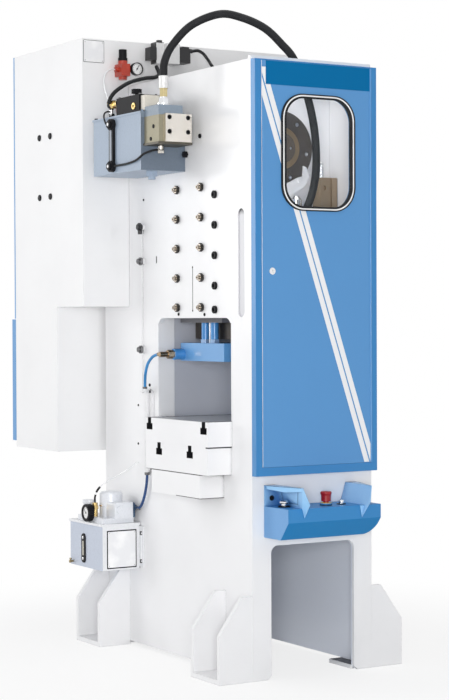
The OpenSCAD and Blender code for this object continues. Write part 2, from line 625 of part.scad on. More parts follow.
// ---- lubrication unit on the left plate ----
lube_top = 338 + lube_h;
module lube_tank() color(steel) rear() {
  difference() {
    box([-181, 902, 338], [-6, 1205, lube_top]);
    box([-178, 905, 341], [-9, 1202, lube_top + 1]);
  }
  box([-186, 897, lube_top], [-2, 1210, lube_top + 10]);
  box([-6, 870, 346], [0, 1200, lube_top - 4]);
  for (z = [371, 490]) rod_x([-10, 884, z], 14, 10);
  rod_z([-120, 1180, 326], 22, 12.5);
}
module lube_pump() color(steel) rear() translate([0, 0, lube_top + 10 - 534]) {
  box([-164, 925, 534], [-20, 1165, 556]);
  // upright motor with its cap, and the pump block before it
  rod_z([-79, 1020, 555], 98, 98);
  translate([-79, 1020, 653]) cylinder(d1 = 98, d2 = 84, h = 8);
  rod_z([-79, 1020, 600], 102, 5);
  in_xz(912, 75) translate([-69, 587]) rrect(98, 70, 10);
  rod_y([-92, 906, 590], 34, 10);
  // filler neck, brass nipple of the thin hose
  rod_z([-130, 1125, 555], 50, 52);
  rod_z([-130, 1125, 606], 58, 14);
  rod_z([-146, 1040, 555], 24, 60);
  hex_z([-146, 1040, 588], 34, 14);
  // outlet with its nut
  rod_x([-24, 960, 592], 26, 16);
  rod_y([-14, 900, 596], 14, 70);
  rod_y([-14, 930, 596], 26, 40);
}
module lube_gauge() color(steel) rear() translate([0, 0, lube_top + 10 - 534]) {
  rod_x([-186, 1046, 573], 74, 22);
  rod_x([-165, 1046, 573], 16, 6.8);
}
module lube_hose() color(black) rear() {
  hose(smooth(lube_route), 12, 8, [1, 0, 0.2]);
  hose([[-146, 1040, 615], [-146, 1038, 642], [-138, 1024, 674], [-112, 998, 706], [-60, 962, 742], [-24, 928, 774],
    [-10, 918, 788], [-0.6, 916, 789]], 7, 8, [0.6, 0.75, 0.2]);
}
module pipe_fittings() color(white) {
  // painted lubrication pipe between its two flanges
  rear() {
    rod_z([-15, 812, 780], 20, 320);
    rod_z([-15, 812, 764], 29.4, 17);
    rod_z([-15, 812, 1092], 29.4, 14);
    rod_z([-33, 795, 1096], 22, 12);
    box([-44, 786, 1092], [0, 822, 1100]);
    box([-20, 804, 800], [0, 820, 806]);
    rod_z([-15, 812, 748], 18, 18);
  }
  // clear tube along the plate with its connectors
  side() {
    rod_z([-6, 867, 1100], 5, 692);
    for (z = [1272, 1645]) {
      rod_x([-30, 862, z], 22, 30);
      hex_x([-22, 862, z], 33, 12);
      box([-12, 850, z - 12], [0, 880, z + 12]);
    }
    rod_x([-30, 862, 1790], 24, 30);
    hex_x([-26, 862, 1790], 35, 12);
    rod_z([-14, 866, 1760], 20, 30);
  }
  // curved bracket below the bearing flange, its bolt and its stand on the wall
  in_xz(front_y + 216, 6) translate([0, shaft_z]) polygon([[0, -150], [40, -134], [76, -116], [100, -110], [104, -68],
    [118, -72], [134, -112], [117, -145], [75, -174], [30, -190], [0, -192]]);
  translate([100, 0, shaft_z - 142]) rod_y([0, front_y + 222, 0], 14, 33);
  hex_y([83, front_y + 209, shaft_z - 129], 17, 7.5);
}

// ---- control desk ----
module console() color(cyan) difference() {
  union() {
    translate([left_x + 54, 0, 0]) intersection() {
      in_yz(0, console_w) desk_shape(0);
      in_xz(front_y - 180, 181) desk_front(0);
    }
    rod_z([stop_x, front_y - 100, 675], 46, 10);
    rod_z([start_x, front_y - 100, 675], 29, 3);
    for (x = [palm_l, palm_r]) rod_z([x, front_y - 72, 675], 33, 5);
  }
  translate([left_x + 54, 0, 0]) intersection() {
    in_yz(2.5, console_w - 5) desk_shape(2.5);
    in_xz(front_y - 180, 181) desk_front(2.5);
  }
  for (x = [palm_l, palm_r]) rod_z([x, front_y - 72, 660], stem_d + 0.6, 30);
  for (x = [stop_x, start_x]) rod_z([x, front_y - 100, 660], stem_d + 0.6, 30);
}
module desk_shape(t) translate([front_y, 0]) polygon([[0, 676 - t], [-171 + t, 676 - t], [-171 + t, 623 + t/2],
  [-117 + t/2, 555 + t], [0, 555 + t]]);
// the desk seen from the front, its lower right corner rounded
module desk_front(t) difference() {
  translate([t, 550]) square([console_w - 2*t, 130]);
  translate([console_w - 52, 607]) difference() {
    translate([0, -60]) square(60);
    circle(r = 52 - t);
  }
}
stop_x = left_x + 275;
start_x = left_x + 347;
palm_l = left_x + 100;
palm_r = left_x + 54 + console_w - 46;
module hood() translate([left_x + 54, front_y, 676]) {
  difference() {
    in_xz(-3, 3) polygon([[0, 0], [74, 0], [51, 81], [0, 81]]);
    rod_y([34, -4, 30], 24, 6);
  }
  // leaning inner wall with its pointed end in front of the desk
  translate([73, 0, 0]) rotate([0, 0, 4.4]) rotate([0, -16, 0]) in_yz(-3, 3)
    polygon([[-0.5, 1], [-0.5, 84], [-160, 84], [-180, 1], [-184, -20], [-181, -48], [-173, -24], [-172, 1]]);
  // three-cornered roof
  translate([0, 0, 78]) linear_extrude(3) polygon([[0, 0], [51, 0], [64, -160], [56, -160], [0, -18]]);
}
module hand_hoods() color(cyan) { hood(); translate([0, 0, 0]) mirror_desk() hood(); }
module mirror_desk() translate([2*(left_x + 54) + console_w, 0, 0]) mirror([1, 0, 0]) children();
module mushroom(x, y, d, h) {
  rod_z([x, y, 661], stem_d, h + 16);
  translate([x, y, 676 + h]) rotate_extrude() polygon([[0, 0], [d/2 - 3, 0], [d/2, 3], [d/2, 8], [d/2 - 5, 13], [0, 15]]);
}
module palm_left() color(steel) mushroom(palm_l, front_y - 72, 38, 14);
module palm_right() color(steel) mushroom(palm_r, front_y - 72, 38, 14);
module stop_button() color(red) {
  rod_z([stop_x, front_y - 100, 661], stem_d, 34);
  translate([stop_x, front_y - 100, 692]) rotate_extrude() polygon([[0, 0], [button_d/2 - 3, 0], [button_d/2 - 2.5, 22],
    [button_d/2, 31], [button_d/2, 34], [button_d/2 - 3, 38], [0, 40]]);
}
module start_button() color(steel) {
  rod_z([start_x, front_y - 100, 661], stem_d, 24);
  translate([start_x, front_y - 100, 684]) rotate_extrude()
    polygon([[0, 0], [13.5, 0], [13.5, 5], [11, 9], [6, 11.4], [0, 12]]);
}

// the node to draw

left_side_plate();
right_side_plate();
front_plate();
rear_plate();
front_bearing_wall();
rear_bearing_wall();
die_space_wall();
feet();
bed_block();
bolster();
slide_gibs();
gib_screws();
bearing_flange();
bearing_bushes();
eccentric_shaft();
connecting_rod();
wrist_pin();
slide();
die_clamp();
clamp_posts();
clamp_hose();
flywheel();
clutch_brake();
drive_belt();
motor();
motor_pulley();
rear_guard();
rear_cover();
cabinet_door();
door_frame();
door_leaf();
window_gasket();
window_glass();
door_lock();
oil_tank();
level_gauge();
pump_manifold();
manifold_plate();
relief_block();
control_valve();
valve_knob();
hose_fitting();
main_hose();
return_tube();
air_regulator();
regulator_knob();
air_gauge();
gauge_needle();
air_valves();
lube_tank();
lube_pump();
lube_gauge();
lube_hose();
pipe_fittings();
console();
hand_hoods();
palm_left();
palm_right();
stop_button();
start_button();
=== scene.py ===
# %% [markdown]
# An eccentric press: a tall closed frame, a glazed blue door, a bolster between two feed windows, and the
# hydraulic, air and lubrication units bolted to its left side. The CAD model fixes every size. This script
# gives each piece its finish and adds what a CAD model leaves out: stripes, plates, rivets, ribbed hoses,
# dial faces, hinges and window beads. Lengths are in metres, +Z is up and -Y faces the operator.

import bmesh
import bpy
import numpy as np
from mathutils import Matrix, Vector


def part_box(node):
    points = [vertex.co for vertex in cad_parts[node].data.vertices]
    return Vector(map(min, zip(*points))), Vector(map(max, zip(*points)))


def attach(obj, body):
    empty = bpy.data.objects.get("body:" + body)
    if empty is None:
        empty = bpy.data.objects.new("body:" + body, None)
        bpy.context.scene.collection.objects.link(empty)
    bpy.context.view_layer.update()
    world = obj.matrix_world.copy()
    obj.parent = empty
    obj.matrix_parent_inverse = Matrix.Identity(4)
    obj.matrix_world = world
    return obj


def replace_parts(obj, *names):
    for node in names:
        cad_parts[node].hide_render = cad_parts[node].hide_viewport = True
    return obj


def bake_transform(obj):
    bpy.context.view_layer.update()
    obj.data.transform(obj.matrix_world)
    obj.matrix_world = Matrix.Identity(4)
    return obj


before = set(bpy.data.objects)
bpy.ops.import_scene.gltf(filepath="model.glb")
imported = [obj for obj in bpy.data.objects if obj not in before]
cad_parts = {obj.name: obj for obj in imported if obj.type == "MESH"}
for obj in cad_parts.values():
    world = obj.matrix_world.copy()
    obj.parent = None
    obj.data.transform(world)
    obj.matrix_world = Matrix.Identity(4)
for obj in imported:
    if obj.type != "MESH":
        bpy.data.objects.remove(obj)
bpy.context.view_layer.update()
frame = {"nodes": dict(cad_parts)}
nodes = frame["nodes"]

# %% [markdown]
# Most measures below are counted as a fitter would, in millimetres from the left side plate's outer face, the
# front plate's face and the floor. One function turns them into scene metres.

# %% Places
LEFT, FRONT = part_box("left_side_plate")[0][0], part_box("front_plate")[0][1]
RIGHT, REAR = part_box("right_side_plate")[1][0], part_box("rear_plate")[1][1]
WIDE, DEEP = round(1000 * (RIGHT - LEFT), 1), round(1000 * (REAR - FRONT), 1)
MIDDLE = WIDE / 2
GUARD_LEFT, GUARD_RIGHT, GUARD_BACK = -221, WIDE + 273, DEEP + 455
X, Y, Z = np.eye(3)


def at(x, y, z):
    """Millimetres from the left plate, the front face and the floor, as scene metres."""
    return np.array([LEFT + x / 1000, FRONT + y / 1000, z / 1000])


def route(points):
    """A list of fitter's points as one array of scene points."""
    return np.array([at(*p) for p in points])


print("frame", WIDE, "mm wide and", DEEP, "mm deep")

# %% [markdown]
# Shader maths reads best as arithmetic. Val wraps one socket, so that 1 - mask adds the Math node it names.
# Nodes wraps a node tree, and its node method makes any other node in one call. Finish is one material.

# %% Shader arithmetic
def maths(operation, swapped=False):
    """A method that adds one Math node. swapped puts the other value first."""
    def method(self, *other):
        values = (*other, self) if swapped else (self, *other)
        return self.nodes.node("ShaderNodeMath", {"operation": operation}, *values)
    return method


class Val:
    """One output socket, with Python's arithmetic signs."""

    def __init__(self, nodes, socket):
        self.nodes = nodes
        self.socket = socket

    __add__, __radd__ = maths("ADD"), maths("ADD", True)
    __sub__, __rsub__ = maths("SUBTRACT"), maths("SUBTRACT", True)
    __mul__, __rmul__ = maths("MULTIPLY"), maths("MULTIPLY", True)
    __gt__, __lt__ = maths("GREATER_THAN"), maths("LESS_THAN")
    abs = maths("ABSOLUTE")

    def __getitem__(self, name):
        """Another output of the same node, by its name or number."""
        return Val(self.nodes, self.socket.node.outputs[name])

    def step(self, low, high):
        """0 below low, 1 above high, smooth between."""
        ends = {"interpolation_type": "SMOOTHSTEP"}
        return self.nodes.node("ShaderNodeMapRange", ends, self, low, high, 0.0, 1.0)


class Nodes:
    """One node tree, emptied."""

    def __init__(self, tree):
        self.tree = tree
        tree.nodes.clear()

    def feed(self, socket, value):
        """Link a Val, or write a number or a colour."""
        if isinstance(value, Val):
            self.tree.links.new(value.socket, socket)
        elif value is not None:
            if socket.type == "RGBA" and len(value) == 3:
                value = (*value, 1.0)
            socket.default_value = value

    def node(self, kind, settings=None, *values, **named):
        """A new node: its settings first, then its sockets in their order, then sockets by name."""
        made = self.tree.nodes.new(kind)
        for key, value in (settings or {}).items():
            setattr(made, key, value)
        for socket, value in zip(made.inputs, values):
            self.feed(socket, value)
        for key, value in named.items():
            self.feed(made.inputs[key], value)
        return Val(self, made.outputs[0])


class Finish(Nodes):
    """One material of that colour, built round a Principled shader."""

    def __init__(self, name, colour):
        self.material = bpy.data.materials.new(name)
        self.material.use_nodes = True
        super().__init__(self.material.node_tree)
        self.surface = self.tree.nodes.new("ShaderNodeOutputMaterial").inputs["Surface"]
        self.shader = self.tree.nodes.new("ShaderNodeBsdfPrincipled")
        self.tree.links.new(self.shader.outputs[0], self.surface)
        self.coordinates = self.node("ShaderNodeTexCoord")["Object"]
        self.colour = colour
        self.set(Base_Color=colour)

    def set(self, **named):
        """Feed the shader's own sockets, with _ for the space in a socket's name."""
        for key, value in named.items():
            self.feed(self.shader.inputs[key.replace("_", " ")], value)

    def paint(self, amount, colour):
        """Lay a second colour over the first where amount isn't 0."""
        self.colour = self.mix(amount, self.colour, colour)
        self.set(Base_Color=self.colour)

    def axis(self, letter):
        """One of the Object coordinates, which are the scene's metres."""
        return self.node("ShaderNodeSeparateXYZ", None, self.coordinates)[letter]

    def inside(self, **limits):
        """1 inside a box: x, y, z or off (distance from the middle) = (low, high) in mm, None for open."""
        tests = []
        for name, (low, high) in limits.items():
            value = self.axis("X").abs() if name == "off" else self.axis(name.upper())
            start = {"x": LEFT, "y": FRONT}.get(name, 0.0)
            if low is not None:
                tests.append(value > start + low / 1000)
            if high is not None:
                tests.append(value < start + high / 1000)
        mask = tests[0]
        for test in tests[1:]:
            mask = mask * test
        return mask

    def noise(self, scale, detail=2.0, rough=0.5, stretch=None):
        where = self.coordinates
        if stretch:
            where = self.node("ShaderNodeMapping", None, where, Scale=stretch)
        return self.node("ShaderNodeTexNoise", None, Vector=where, Scale=scale, Detail=detail,
                         Roughness=rough)

    def mix(self, amount, first, second):
        """first where amount is 0, second where it is 1."""
        result = self.node("ShaderNodeMix", {"data_type": "RGBA"})[2]
        for number, value in ((0, amount), (6, first), (7, second)):
            self.feed(result.socket.node.inputs[number], value)
        return result

    def bump(self, height, depth, edge):
        """height in 0..1 raised by depth metres, over edges rounded by edge metres."""
        base = self.node("ShaderNodeBevel", {"samples": 4}, edge)
        return self.node("ShaderNodeBump", None, Strength=1.0, Distance=depth, Height=height, Normal=base)


def shade(colour, amount):
    """A colour made darker or lighter."""
    return tuple(min(1.0, c * amount) for c in colour)


# %% [markdown]
# Machine enamel is sprayed thick over filled castings and plate. It is glossy, a little uneven like orange
# peel, greyer where hands and swarf reach it, and its edges catch a highlight because they were broken with a
# file. The soft edge comes from a Bevel node under the Bump node, so that no CAD mesh is changed.

# %% Enamel
def enamel(name, colour, rough=0.32, peel=0.00005, soil=0.05, coat=0.35, crease=0.0, reach=0.012,
           crease_shade=(0.035, 0.035, 0.04)):
    """Paint with soil clouds and, where crease isn't 0, painted shade in corners closer than reach metres."""
    f = Finish(name, colour)
    cloud = f.noise(3.0, 3.0)
    speck = f.noise(42.0)
    low = 1 - f.axis("Z").step(0.0, 0.30)
    f.paint(cloud.step(0.35, 0.75) * soil * 6, shade(colour, 0.90))
    f.paint((speck > 0.66) * 0.25, shade(colour, 0.96))
    f.paint(low * cloud * 0.12, (0.42, 0.41, 0.39))
    # Painted shade: an Ambient Occlusion node darkens corners and creases towards a shade colour.
    if crease:
        open_sky = f.node("ShaderNodeAmbientOcclusion", {"samples": 6}, Distance=reach)["AO"]
        f.paint((1 - open_sky).step(0.42, 0.80) * crease, crease_shade)
    f.set(Roughness=rough + speck * 0.10 + low * 0.12, Coat_Weight=coat, Coat_Roughness=0.12,
          Normal=f.bump(f.noise(330.0), peel, 0.0016))
    return f


WHITE = (0.89, 0.89, 0.90)
white = enamel("white_enamel", WHITE, crease=0.5)
stripe_white = enamel("stripe_enamel", (0.90, 0.90, 0.91), rough=0.28, soil=0.0)
wall_grey = enamel("wall_enamel", (0.53, 0.545, 0.60), rough=0.5, soil=0.09)
BLUE = dict(rough=0.34, soil=0.03)
door_blue = enamel("door_enamel", (0.080, 0.285, 0.60), **BLUE)
frame_blue = enamel("door_frame_enamel", (0.020, 0.215, 0.52), **BLUE)
clamp_blue = enamel("clamp_enamel", (0.13, 0.36, 0.70), **BLUE)
# Painted shade: the crease darkens the inside of the hoods to deep blue, under the roof and against the back.
hood_blue = enamel("hood_enamel", (0.31, 0.59, 0.90), crease=0.9, reach=0.10, crease_shade=(0.0, 0.10, 0.37),
                   **BLUE)
band_blue = enamel("band_enamel", (0.0, 0.15, 0.37), rough=0.45, soil=0.02, coat=0.0)
band_blue.set(Specular_IOR_Level=0.12)
print("enamels", len(bpy.data.materials))

# %% [markdown]
# The welded frame is white outside and a pale bluish grey low inside, which is painted shade. A box of limits
# on
# Object coordinates tells the inside from the outside. In the same way the floors of the frame's front
# recesses get painted shade, the desk painted shade on its lower slope and painted light on its ends, the
# guard its black plugs, and the bed its bare machined top, dark joints and lines of painted shadow under its
# ledges, and T-slot hollows painted near black as shade.

# %% Paints with a second colour
frame_white = enamel("frame_enamel", WHITE, crease=0.8)
# Painted shade: low inside the frame, a pale bluish grey stands for the shade there.
inside_shade = 1 - frame_white.axis("Z").step(0.690, 0.694)
inside_shade = frame_white.inside(off=(None, MIDDLE - 4), y=(12, DEEP - 4)) * inside_shade
cloud = frame_white.noise(2.0, 4.0).step(0.3, 0.8) * 0.3
frame_white.paint(inside_shade, frame_white.mix(cloud, (0.86, 0.90, 0.98), (0.90, 0.93, 0.99)))
# Painted shade: the floors of the two long recesses near the front are grey, nearly black under their rim.
front_slot_shade = frame_white.inside(off=(MIDDLE - 8.5, MIDDLE - 4), y=(45, 104), z=(1400, 1832))
under_rim_shadow = frame_white.axis("Z").step(1.80, 1.825)
frame_white.paint(front_slot_shade, frame_white.mix(under_rim_shadow, (0.62, 0.62, 0.65), (0.05, 0.05, 0.055)))

desk_blue = enamel("desk_enamel", (0.045, 0.245, 0.55), rough=0.42, soil=0.03, coat=0.0)
desk_blue.set(Specular_IOR_Level=0.3)
ends = desk_blue.inside(x=(None, 54.5)) + desk_blue.inside(x=(484.5, None))
# Painted shade: the lower slope is a darker blue. Painted light: the two end faces are a lighter blue.
desk_blue.paint(desk_blue.inside(z=(None, 623.5)) * (1 - ends), (0.0, 0.185, 0.46))
desk_blue.paint(ends * 0.8, (0.20, 0.40, 0.70))

guard_paint = enamel("guard_enamel", (0.89, 0.89, 0.895), peel=0.00003, crease=0.5)
guard_paint.paint(guard_paint.inside(x=(None, GUARD_LEFT - 0.2)), (0.02, 0.02, 0.022))

bed_white = enamel("bed_enamel", WHITE, rough=0.36, soil=0.06, crease=0.95, reach=0.03)
bed_white.paint(bed_white.inside(z=(997.5, None)), (0.33, 0.335, 0.35))
# Dark lines: a joint under the bolster with painted shadow, and lines of painted shadow under the bed's two
# lower ledges.
seams_and_shadow_lines = [dict(y=(None, 165), z=(894.8, 900.4)), dict(z=(786.2, 790)), dict(y=(None, 400), z=(693.2, 696.8))]
# The T-slot hollows are painted near black, as painted shade.
slots = [dict(off=(None, MIDDLE + 109.2), y=(y - 25.6, y + 25.6), z=(top - 50.2, top - 0.6))
         for y, top in ((181, 998), (617, 998), (289, 900), (538, 900))]
for limits in seams_and_shadow_lines + slots:
    bed_white.paint(bed_white.inside(**limits), (0.012, 0.012, 0.014))
print("enamels", len(bpy.data.materials))

# %% [markdown]
# Bare metal here is ground or turned steel, cast iron or aluminium, brass that has gone brown, chrome, and
# pale zinc plating. Each is a metallic base with noise, and the steels stretch it to fine parallel marks.

# %% Bare metals
def metal(name, colour, rough, stretch=(1, 1, 1), marks=90.0, tarnish=None, depth=0.00004):
    """Metal with clouds of tarnish, and with tool marks that a stretch other than 1 draws out to lines."""
    f = Finish(name, colour)
    grain = f.noise(marks, 3.0, 0.6, stretch)
    cloud = f.noise(9.0, 3.0)
    f.paint(cloud.step(0.4, 0.7) * 0.5, tarnish or shade(colour, 0.8))
    f.set(Metallic=1.0, Roughness=rough + (grain - 0.5) * 0.22 + cloud.step(0.5, 0.8) * 0.1,
          Normal=f.bump(grain, depth, 0.0008))
    return f


steel = metal("ground_steel", (0.62, 0.62, 0.63), 0.30, (1, 14, 14))
shaft_steel = metal("turned_steel", (0.60, 0.60, 0.61), 0.26, (1, 12, 1))
chrome = metal("chrome", (0.80, 0.81, 0.82), 0.10, depth=0.000005, tarnish=(0.72, 0.73, 0.75))
primer = metal("dark_primer", (0.13, 0.13, 0.14), 0.55, marks=60.0)
primer.set(Metallic=0.2)
iron = metal("cast_iron", (0.20, 0.20, 0.205), 0.5, marks=160.0, depth=0.0002)
flange_iron = metal("oiled_iron", (0.165, 0.145, 0.13), 0.5, marks=60.0, tarnish=(0.12, 0.10, 0.085))
brass = metal("brass", (0.70, 0.52, 0.22), 0.24, tarnish=(0.48, 0.34, 0.13))
pale_zinc = metal("pale_zinc", (0.74, 0.70, 0.64), 0.40, tarnish=(0.68, 0.64, 0.58))
aluminium = metal("cast_aluminium", (0.66, 0.67, 0.69), 0.40, marks=220.0, depth=0.0001)
print("with the metals", len(bpy.data.materials))

# %% [markdown]
# Rubber and plastic are dark, slightly rough and never quite black. A moulded button is glossier and clear in
# colour. The window is nearly clear, with a faint cloud in its Alpha.

# %% Rubber, plastics and glass
def plastic(name, colour, rough, coat=0.0, shine=0.5):
    """Moulded plastic or rubber; a low shine keeps black from looking grey under a bright sky."""
    f = Finish(name, colour)
    cloud = f.noise(18.0)
    f.paint(cloud.step(0.4, 0.8), tuple(min(1, c * 1.25 + 0.004) for c in colour))
    f.set(Roughness=rough + cloud * 0.1, Coat_Weight=coat, Coat_Roughness=0.08, Specular_IOR_Level=shine,
          Normal=f.bump(f.noise(400.0), 0.00005, 0.001))
    return f


rubber = plastic("black_rubber", (0.018, 0.019, 0.021), 0.5, shine=0.14)
black = plastic("black_plastic", (0.010, 0.010, 0.012), 0.32, shine=0.1)
red = plastic("red_plastic", (0.33, 0.004, 0.007), 0.32, coat=0.1)
regulator_red = plastic("regulator_red", (0.42, 0.035, 0.014), 0.3, coat=0.2)
yellow = plastic("yellow_plastic", (0.80, 0.60, 0.06), 0.35)
hose_blue = plastic("hose_blue", (0.03, 0.22, 0.50), 0.35)
navy = plastic("navy_hose", (0.006, 0.045, 0.16), 0.3)
clear_tube = plastic("clear_tube", (0.80, 0.82, 0.84), 0.25, coat=0.3)
dial_white = plastic("dial_face", (0.84, 0.84, 0.83), 0.3, coat=0.6)
plate_white = plastic("bare_plate", (0.86, 0.865, 0.88), 0.3, coat=0.2)
bead_pale = plastic("locking_bead", (0.92, 0.92, 0.91), 0.3)
amber = plastic("oil_behind_glass", (0.42, 0.40, 0.33), 0.12, coat=0.8)
pale_strip = plastic("level_strip", (0.26, 0.29, 0.34), 0.3, coat=0.2)
slit_shade = plastic("slit_shadow", (0.10, 0.10, 0.105), 0.6)

glass = Finish("window_glass", (0.30, 0.33, 0.34))
glass.set(Roughness=0.02, IOR=1.15, Alpha=0.03 + glass.noise(2.5, 1.0) * 0.02)
glass.material.surface_render_method = "BLENDED"
print("materials", len(bpy.data.materials))

# %% [markdown]
# Some CAD nodes gather several small parts, such as the screws along the slide guides. Where a part lies
# tells its finish: each second finish comes with the limits of the box that it fills.

# %% Finishes told apart by place
def parted(name, default, *parts):
    """default (colour, metallic, rough) everywhere, and each (limits, colour, metallic, rough) over it."""
    colour, metallic, rough = default
    f = Finish(name, colour)
    grain = f.noise(120.0, 3.0)
    worn = grain.step(0.4, 0.8) * 0.4
    f.paint(worn, shade(colour, 0.82))
    for limits, colour_b, metallic_b, rough_b in parts:
        mask = f.inside(**limits)
        f.paint(mask, f.mix(worn, colour_b, shade(colour_b, 0.82)))
        metallic = metallic + mask * (metallic_b - metallic)
        rough = rough + mask * (rough_b - rough)
    f.set(Metallic=metallic, Roughness=rough + (grain - 0.5) * 0.1, Normal=f.bump(grain, 0.00004, 0.0007))
    return f


screws = parted("guide_screws", ((0.030, 0.027, 0.024), 0.8, 0.34),
    (dict(off=(MIDDLE + 13.2, None)), (0.36, 0.32, 0.275), 1.0, 0.2),
    (dict(y=(None, 300)), (0.020, 0.020, 0.022), 0.2, 0.4))
# The flange under the slide, above 1384.9 mm, is dark grey: partly its paint and partly painted shade.
posts = parted("post_finish", ((0.07, 0.29, 0.66), 0.0, 0.25),
    (dict(x=(None, 34)), (0.34, 0.25, 0.16), 1.0, 0.25),
    (dict(off=(None, 130.2), z=(1301.2, None)), (0.055, 0.045, 0.036), 0.6, 0.45),
    (dict(z=(1384.9, None)), (0.13, 0.13, 0.145), 0.0, 0.5),
    (dict(off=(130.2, None), z=(1300, 1316.2)), (0.38, 0.55, 0.80), 0.4, 0.2),
    (dict(off=(130.2, None), y=(520.5, 529.5), z=(1300, 1385)), (0.86, 0.87, 0.88), 0.2, 0.25))
fittings = parted("hose_ends", ((0.76, 0.77, 0.78), 1.0, 0.2),
    (dict(x=(None, -19), z=(2289.9, 2323.5)), (0.62, 0.52, 0.28), 1.0, 0.3),
    (dict(x=(None, -19), z=(2323.5, None)), (0.78, 0.775, 0.76), 0.25, 0.4))
valve_body = parted("valve_finish", ((0.010, 0.010, 0.012), 0.0, 0.40),
    (dict(x=(None, -158), y=(742.5, 799), z=(2270, 2304.5)), (0.70, 0.52, 0.22), 1.0, 0.25),
    (dict(y=(790, None), z=(None, 2270)), (0.76, 0.76, 0.77), 1.0, 0.2),
    (dict(y=(None, 544.8)), (0.78, 0.74, 0.66), 0.1, 0.45))
valve_body.set(Specular_IOR_Level=0.08)
manifold_finish = parted("manifold_finish", ((0.30, 0.275, 0.195), 0.35, 0.5),
    (dict(z=(None, 2104.9)), (0.12, 0.11, 0.09), 0.7, 0.5))
valves = parted("air_valve_finish", ((0.012, 0.012, 0.014), 0.0, 0.4),
    (dict(x=(112, 213.5), y=(915, None), z=(None, 2589.5)), (0.80, 0.80, 0.80), 0.1, 0.4))
# Painted shade: the fronts of the tank and of the relief block are darker, a little less so above 2212 mm.
unit_grey = parted("unit_finish", ((0.33, 0.405, 0.51), 0.0, 0.42),
    (dict(y=(300, 506.5), z=(1900, None)), (0.145, 0.185, 0.24), 0.0, 0.42),
    (dict(y=(300, 506.5), z=(2212.1, None)), (0.23, 0.285, 0.35), 0.0, 0.42),
    (dict(x=(None, -5), y=(508.5, None), z=(2236.2, None)), (0.05, 0.05, 0.055), 0.5, 0.4))
tank_paint = parted("tank_finish", ((0.55, 0.60, 0.70), 0.0, 0.36),
    (dict(y=(None, 902.5)), (0.84, 0.85, 0.87), 0.0, 0.36),
    (dict(z=(524.5, None)), (0.84, 0.85, 0.87), 0.0, 0.36))
pump_finish = parted("pump_finish", ((0.80, 0.82, 0.86), 0.15, 0.32),
    (dict(x=(None, -128.5), y=(None, 1062), z=(556.2, None)), (0.60, 0.44, 0.19), 1.0, 0.25),
    (dict(x=(-30, None), y=(None, 1000), z=(556.2, None)), (0.05, 0.09, 0.16), 0.5, 0.3))
bearing_parts = parted("bearing_bronze", ((0.40, 0.285, 0.165), 0.8, 0.42),
    (dict(z=(None, 1975)), (0.36, 0.27, 0.175), 0.5, 0.5))
shaft_finish = parted("shaft_finish", ((0.60, 0.60, 0.61), 1.0, 0.28),
    (dict(y=(None, 255)), (0.17, 0.14, 0.115), 0.6, 0.5))
pipe_white = parted("pipe_finish", ((0.82, 0.82, 0.83), 0.0, 0.35),
    (dict(x=(None, -9.5), z=(1700, 1810)), (0.035, 0.035, 0.038), 0.4, 0.35),
    (dict(x=(None, -9.5), z=(1250, 1700)), (0.15, 0.15, 0.155), 1.0, 0.2))
ferrule = parted("ferrule_white", ((0.80, 0.80, 0.79), 0.25, 0.35))
print("finishes", len(bpy.data.materials))

# %% [markdown]
# Every CAD node now gets its finish. The node's own material slots are filled, and its mesh is left alone.

# %% Finish the CAD nodes
FINISHES = {
    frame_white: "left_side_plate right_side_plate front_plate rear_plate",
    white: "front_bearing_wall rear_bearing_wall feet", bed_white: "bed_block bolster",
    guard_paint: "rear_guard", wall_grey: "die_space_wall", door_blue: "rear_cover cabinet_door door_leaf",
    frame_blue: "door_frame", desk_blue: "console", hood_blue: "hand_hoods", clamp_blue: "die_clamp",
    posts: "clamp_posts", hose_blue: "clamp_hose", pipe_white: "pipe_fittings",
    unit_grey: "oil_tank relief_block motor", tank_paint: "lube_tank", pump_finish: "lube_pump",
    manifold_finish: "pump_manifold", pale_zinc: "manifold_plate", fittings: "hose_fitting",
    valve_body: "control_valve", valves: "air_valves", regulator_red: "air_regulator",
    steel: "slide_gibs slide connecting_rod", screws: "gib_screws", shaft_finish: "eccentric_shaft",
    shaft_steel: "wrist_pin", iron: "flywheel motor_pulley clutch_brake", flange_iron: "bearing_flange",
    bearing_parts: "bearing_bushes", chrome: "door_lock start_button palm_left palm_right",
    red: "stop_button", rubber: "main_hose return_tube lube_hose drive_belt window_gasket",
    black: "lube_gauge level_gauge valve_knob regulator_knob air_gauge gauge_needle", glass: "window_glass"}
for finish, names in FINISHES.items():
    for name in names.split():
        materials = nodes[name].data.materials
        if not materials:
            materials.append(None)
        for slot in range(len(materials)):
            materials[slot] = finish.material
print("nodes without a finish:", sorted(set(nodes) - set(" ".join(FINISHES.values()).split())))

# %% [markdown]
# New pieces are surfaces: a function of two parameters on a grid, worked out as one array. A grid closes
# round its second parameter, and round its first one too or else its ends are capped. Several grids can share
# one mesh, such as a row of rivets. The finish tells which slot a piece belongs to.


def linked(name, data):
    """A new object in the scene."""
    made = bpy.data.objects.new(name, data)
    bpy.context.collection.objects.link(made)
    return made


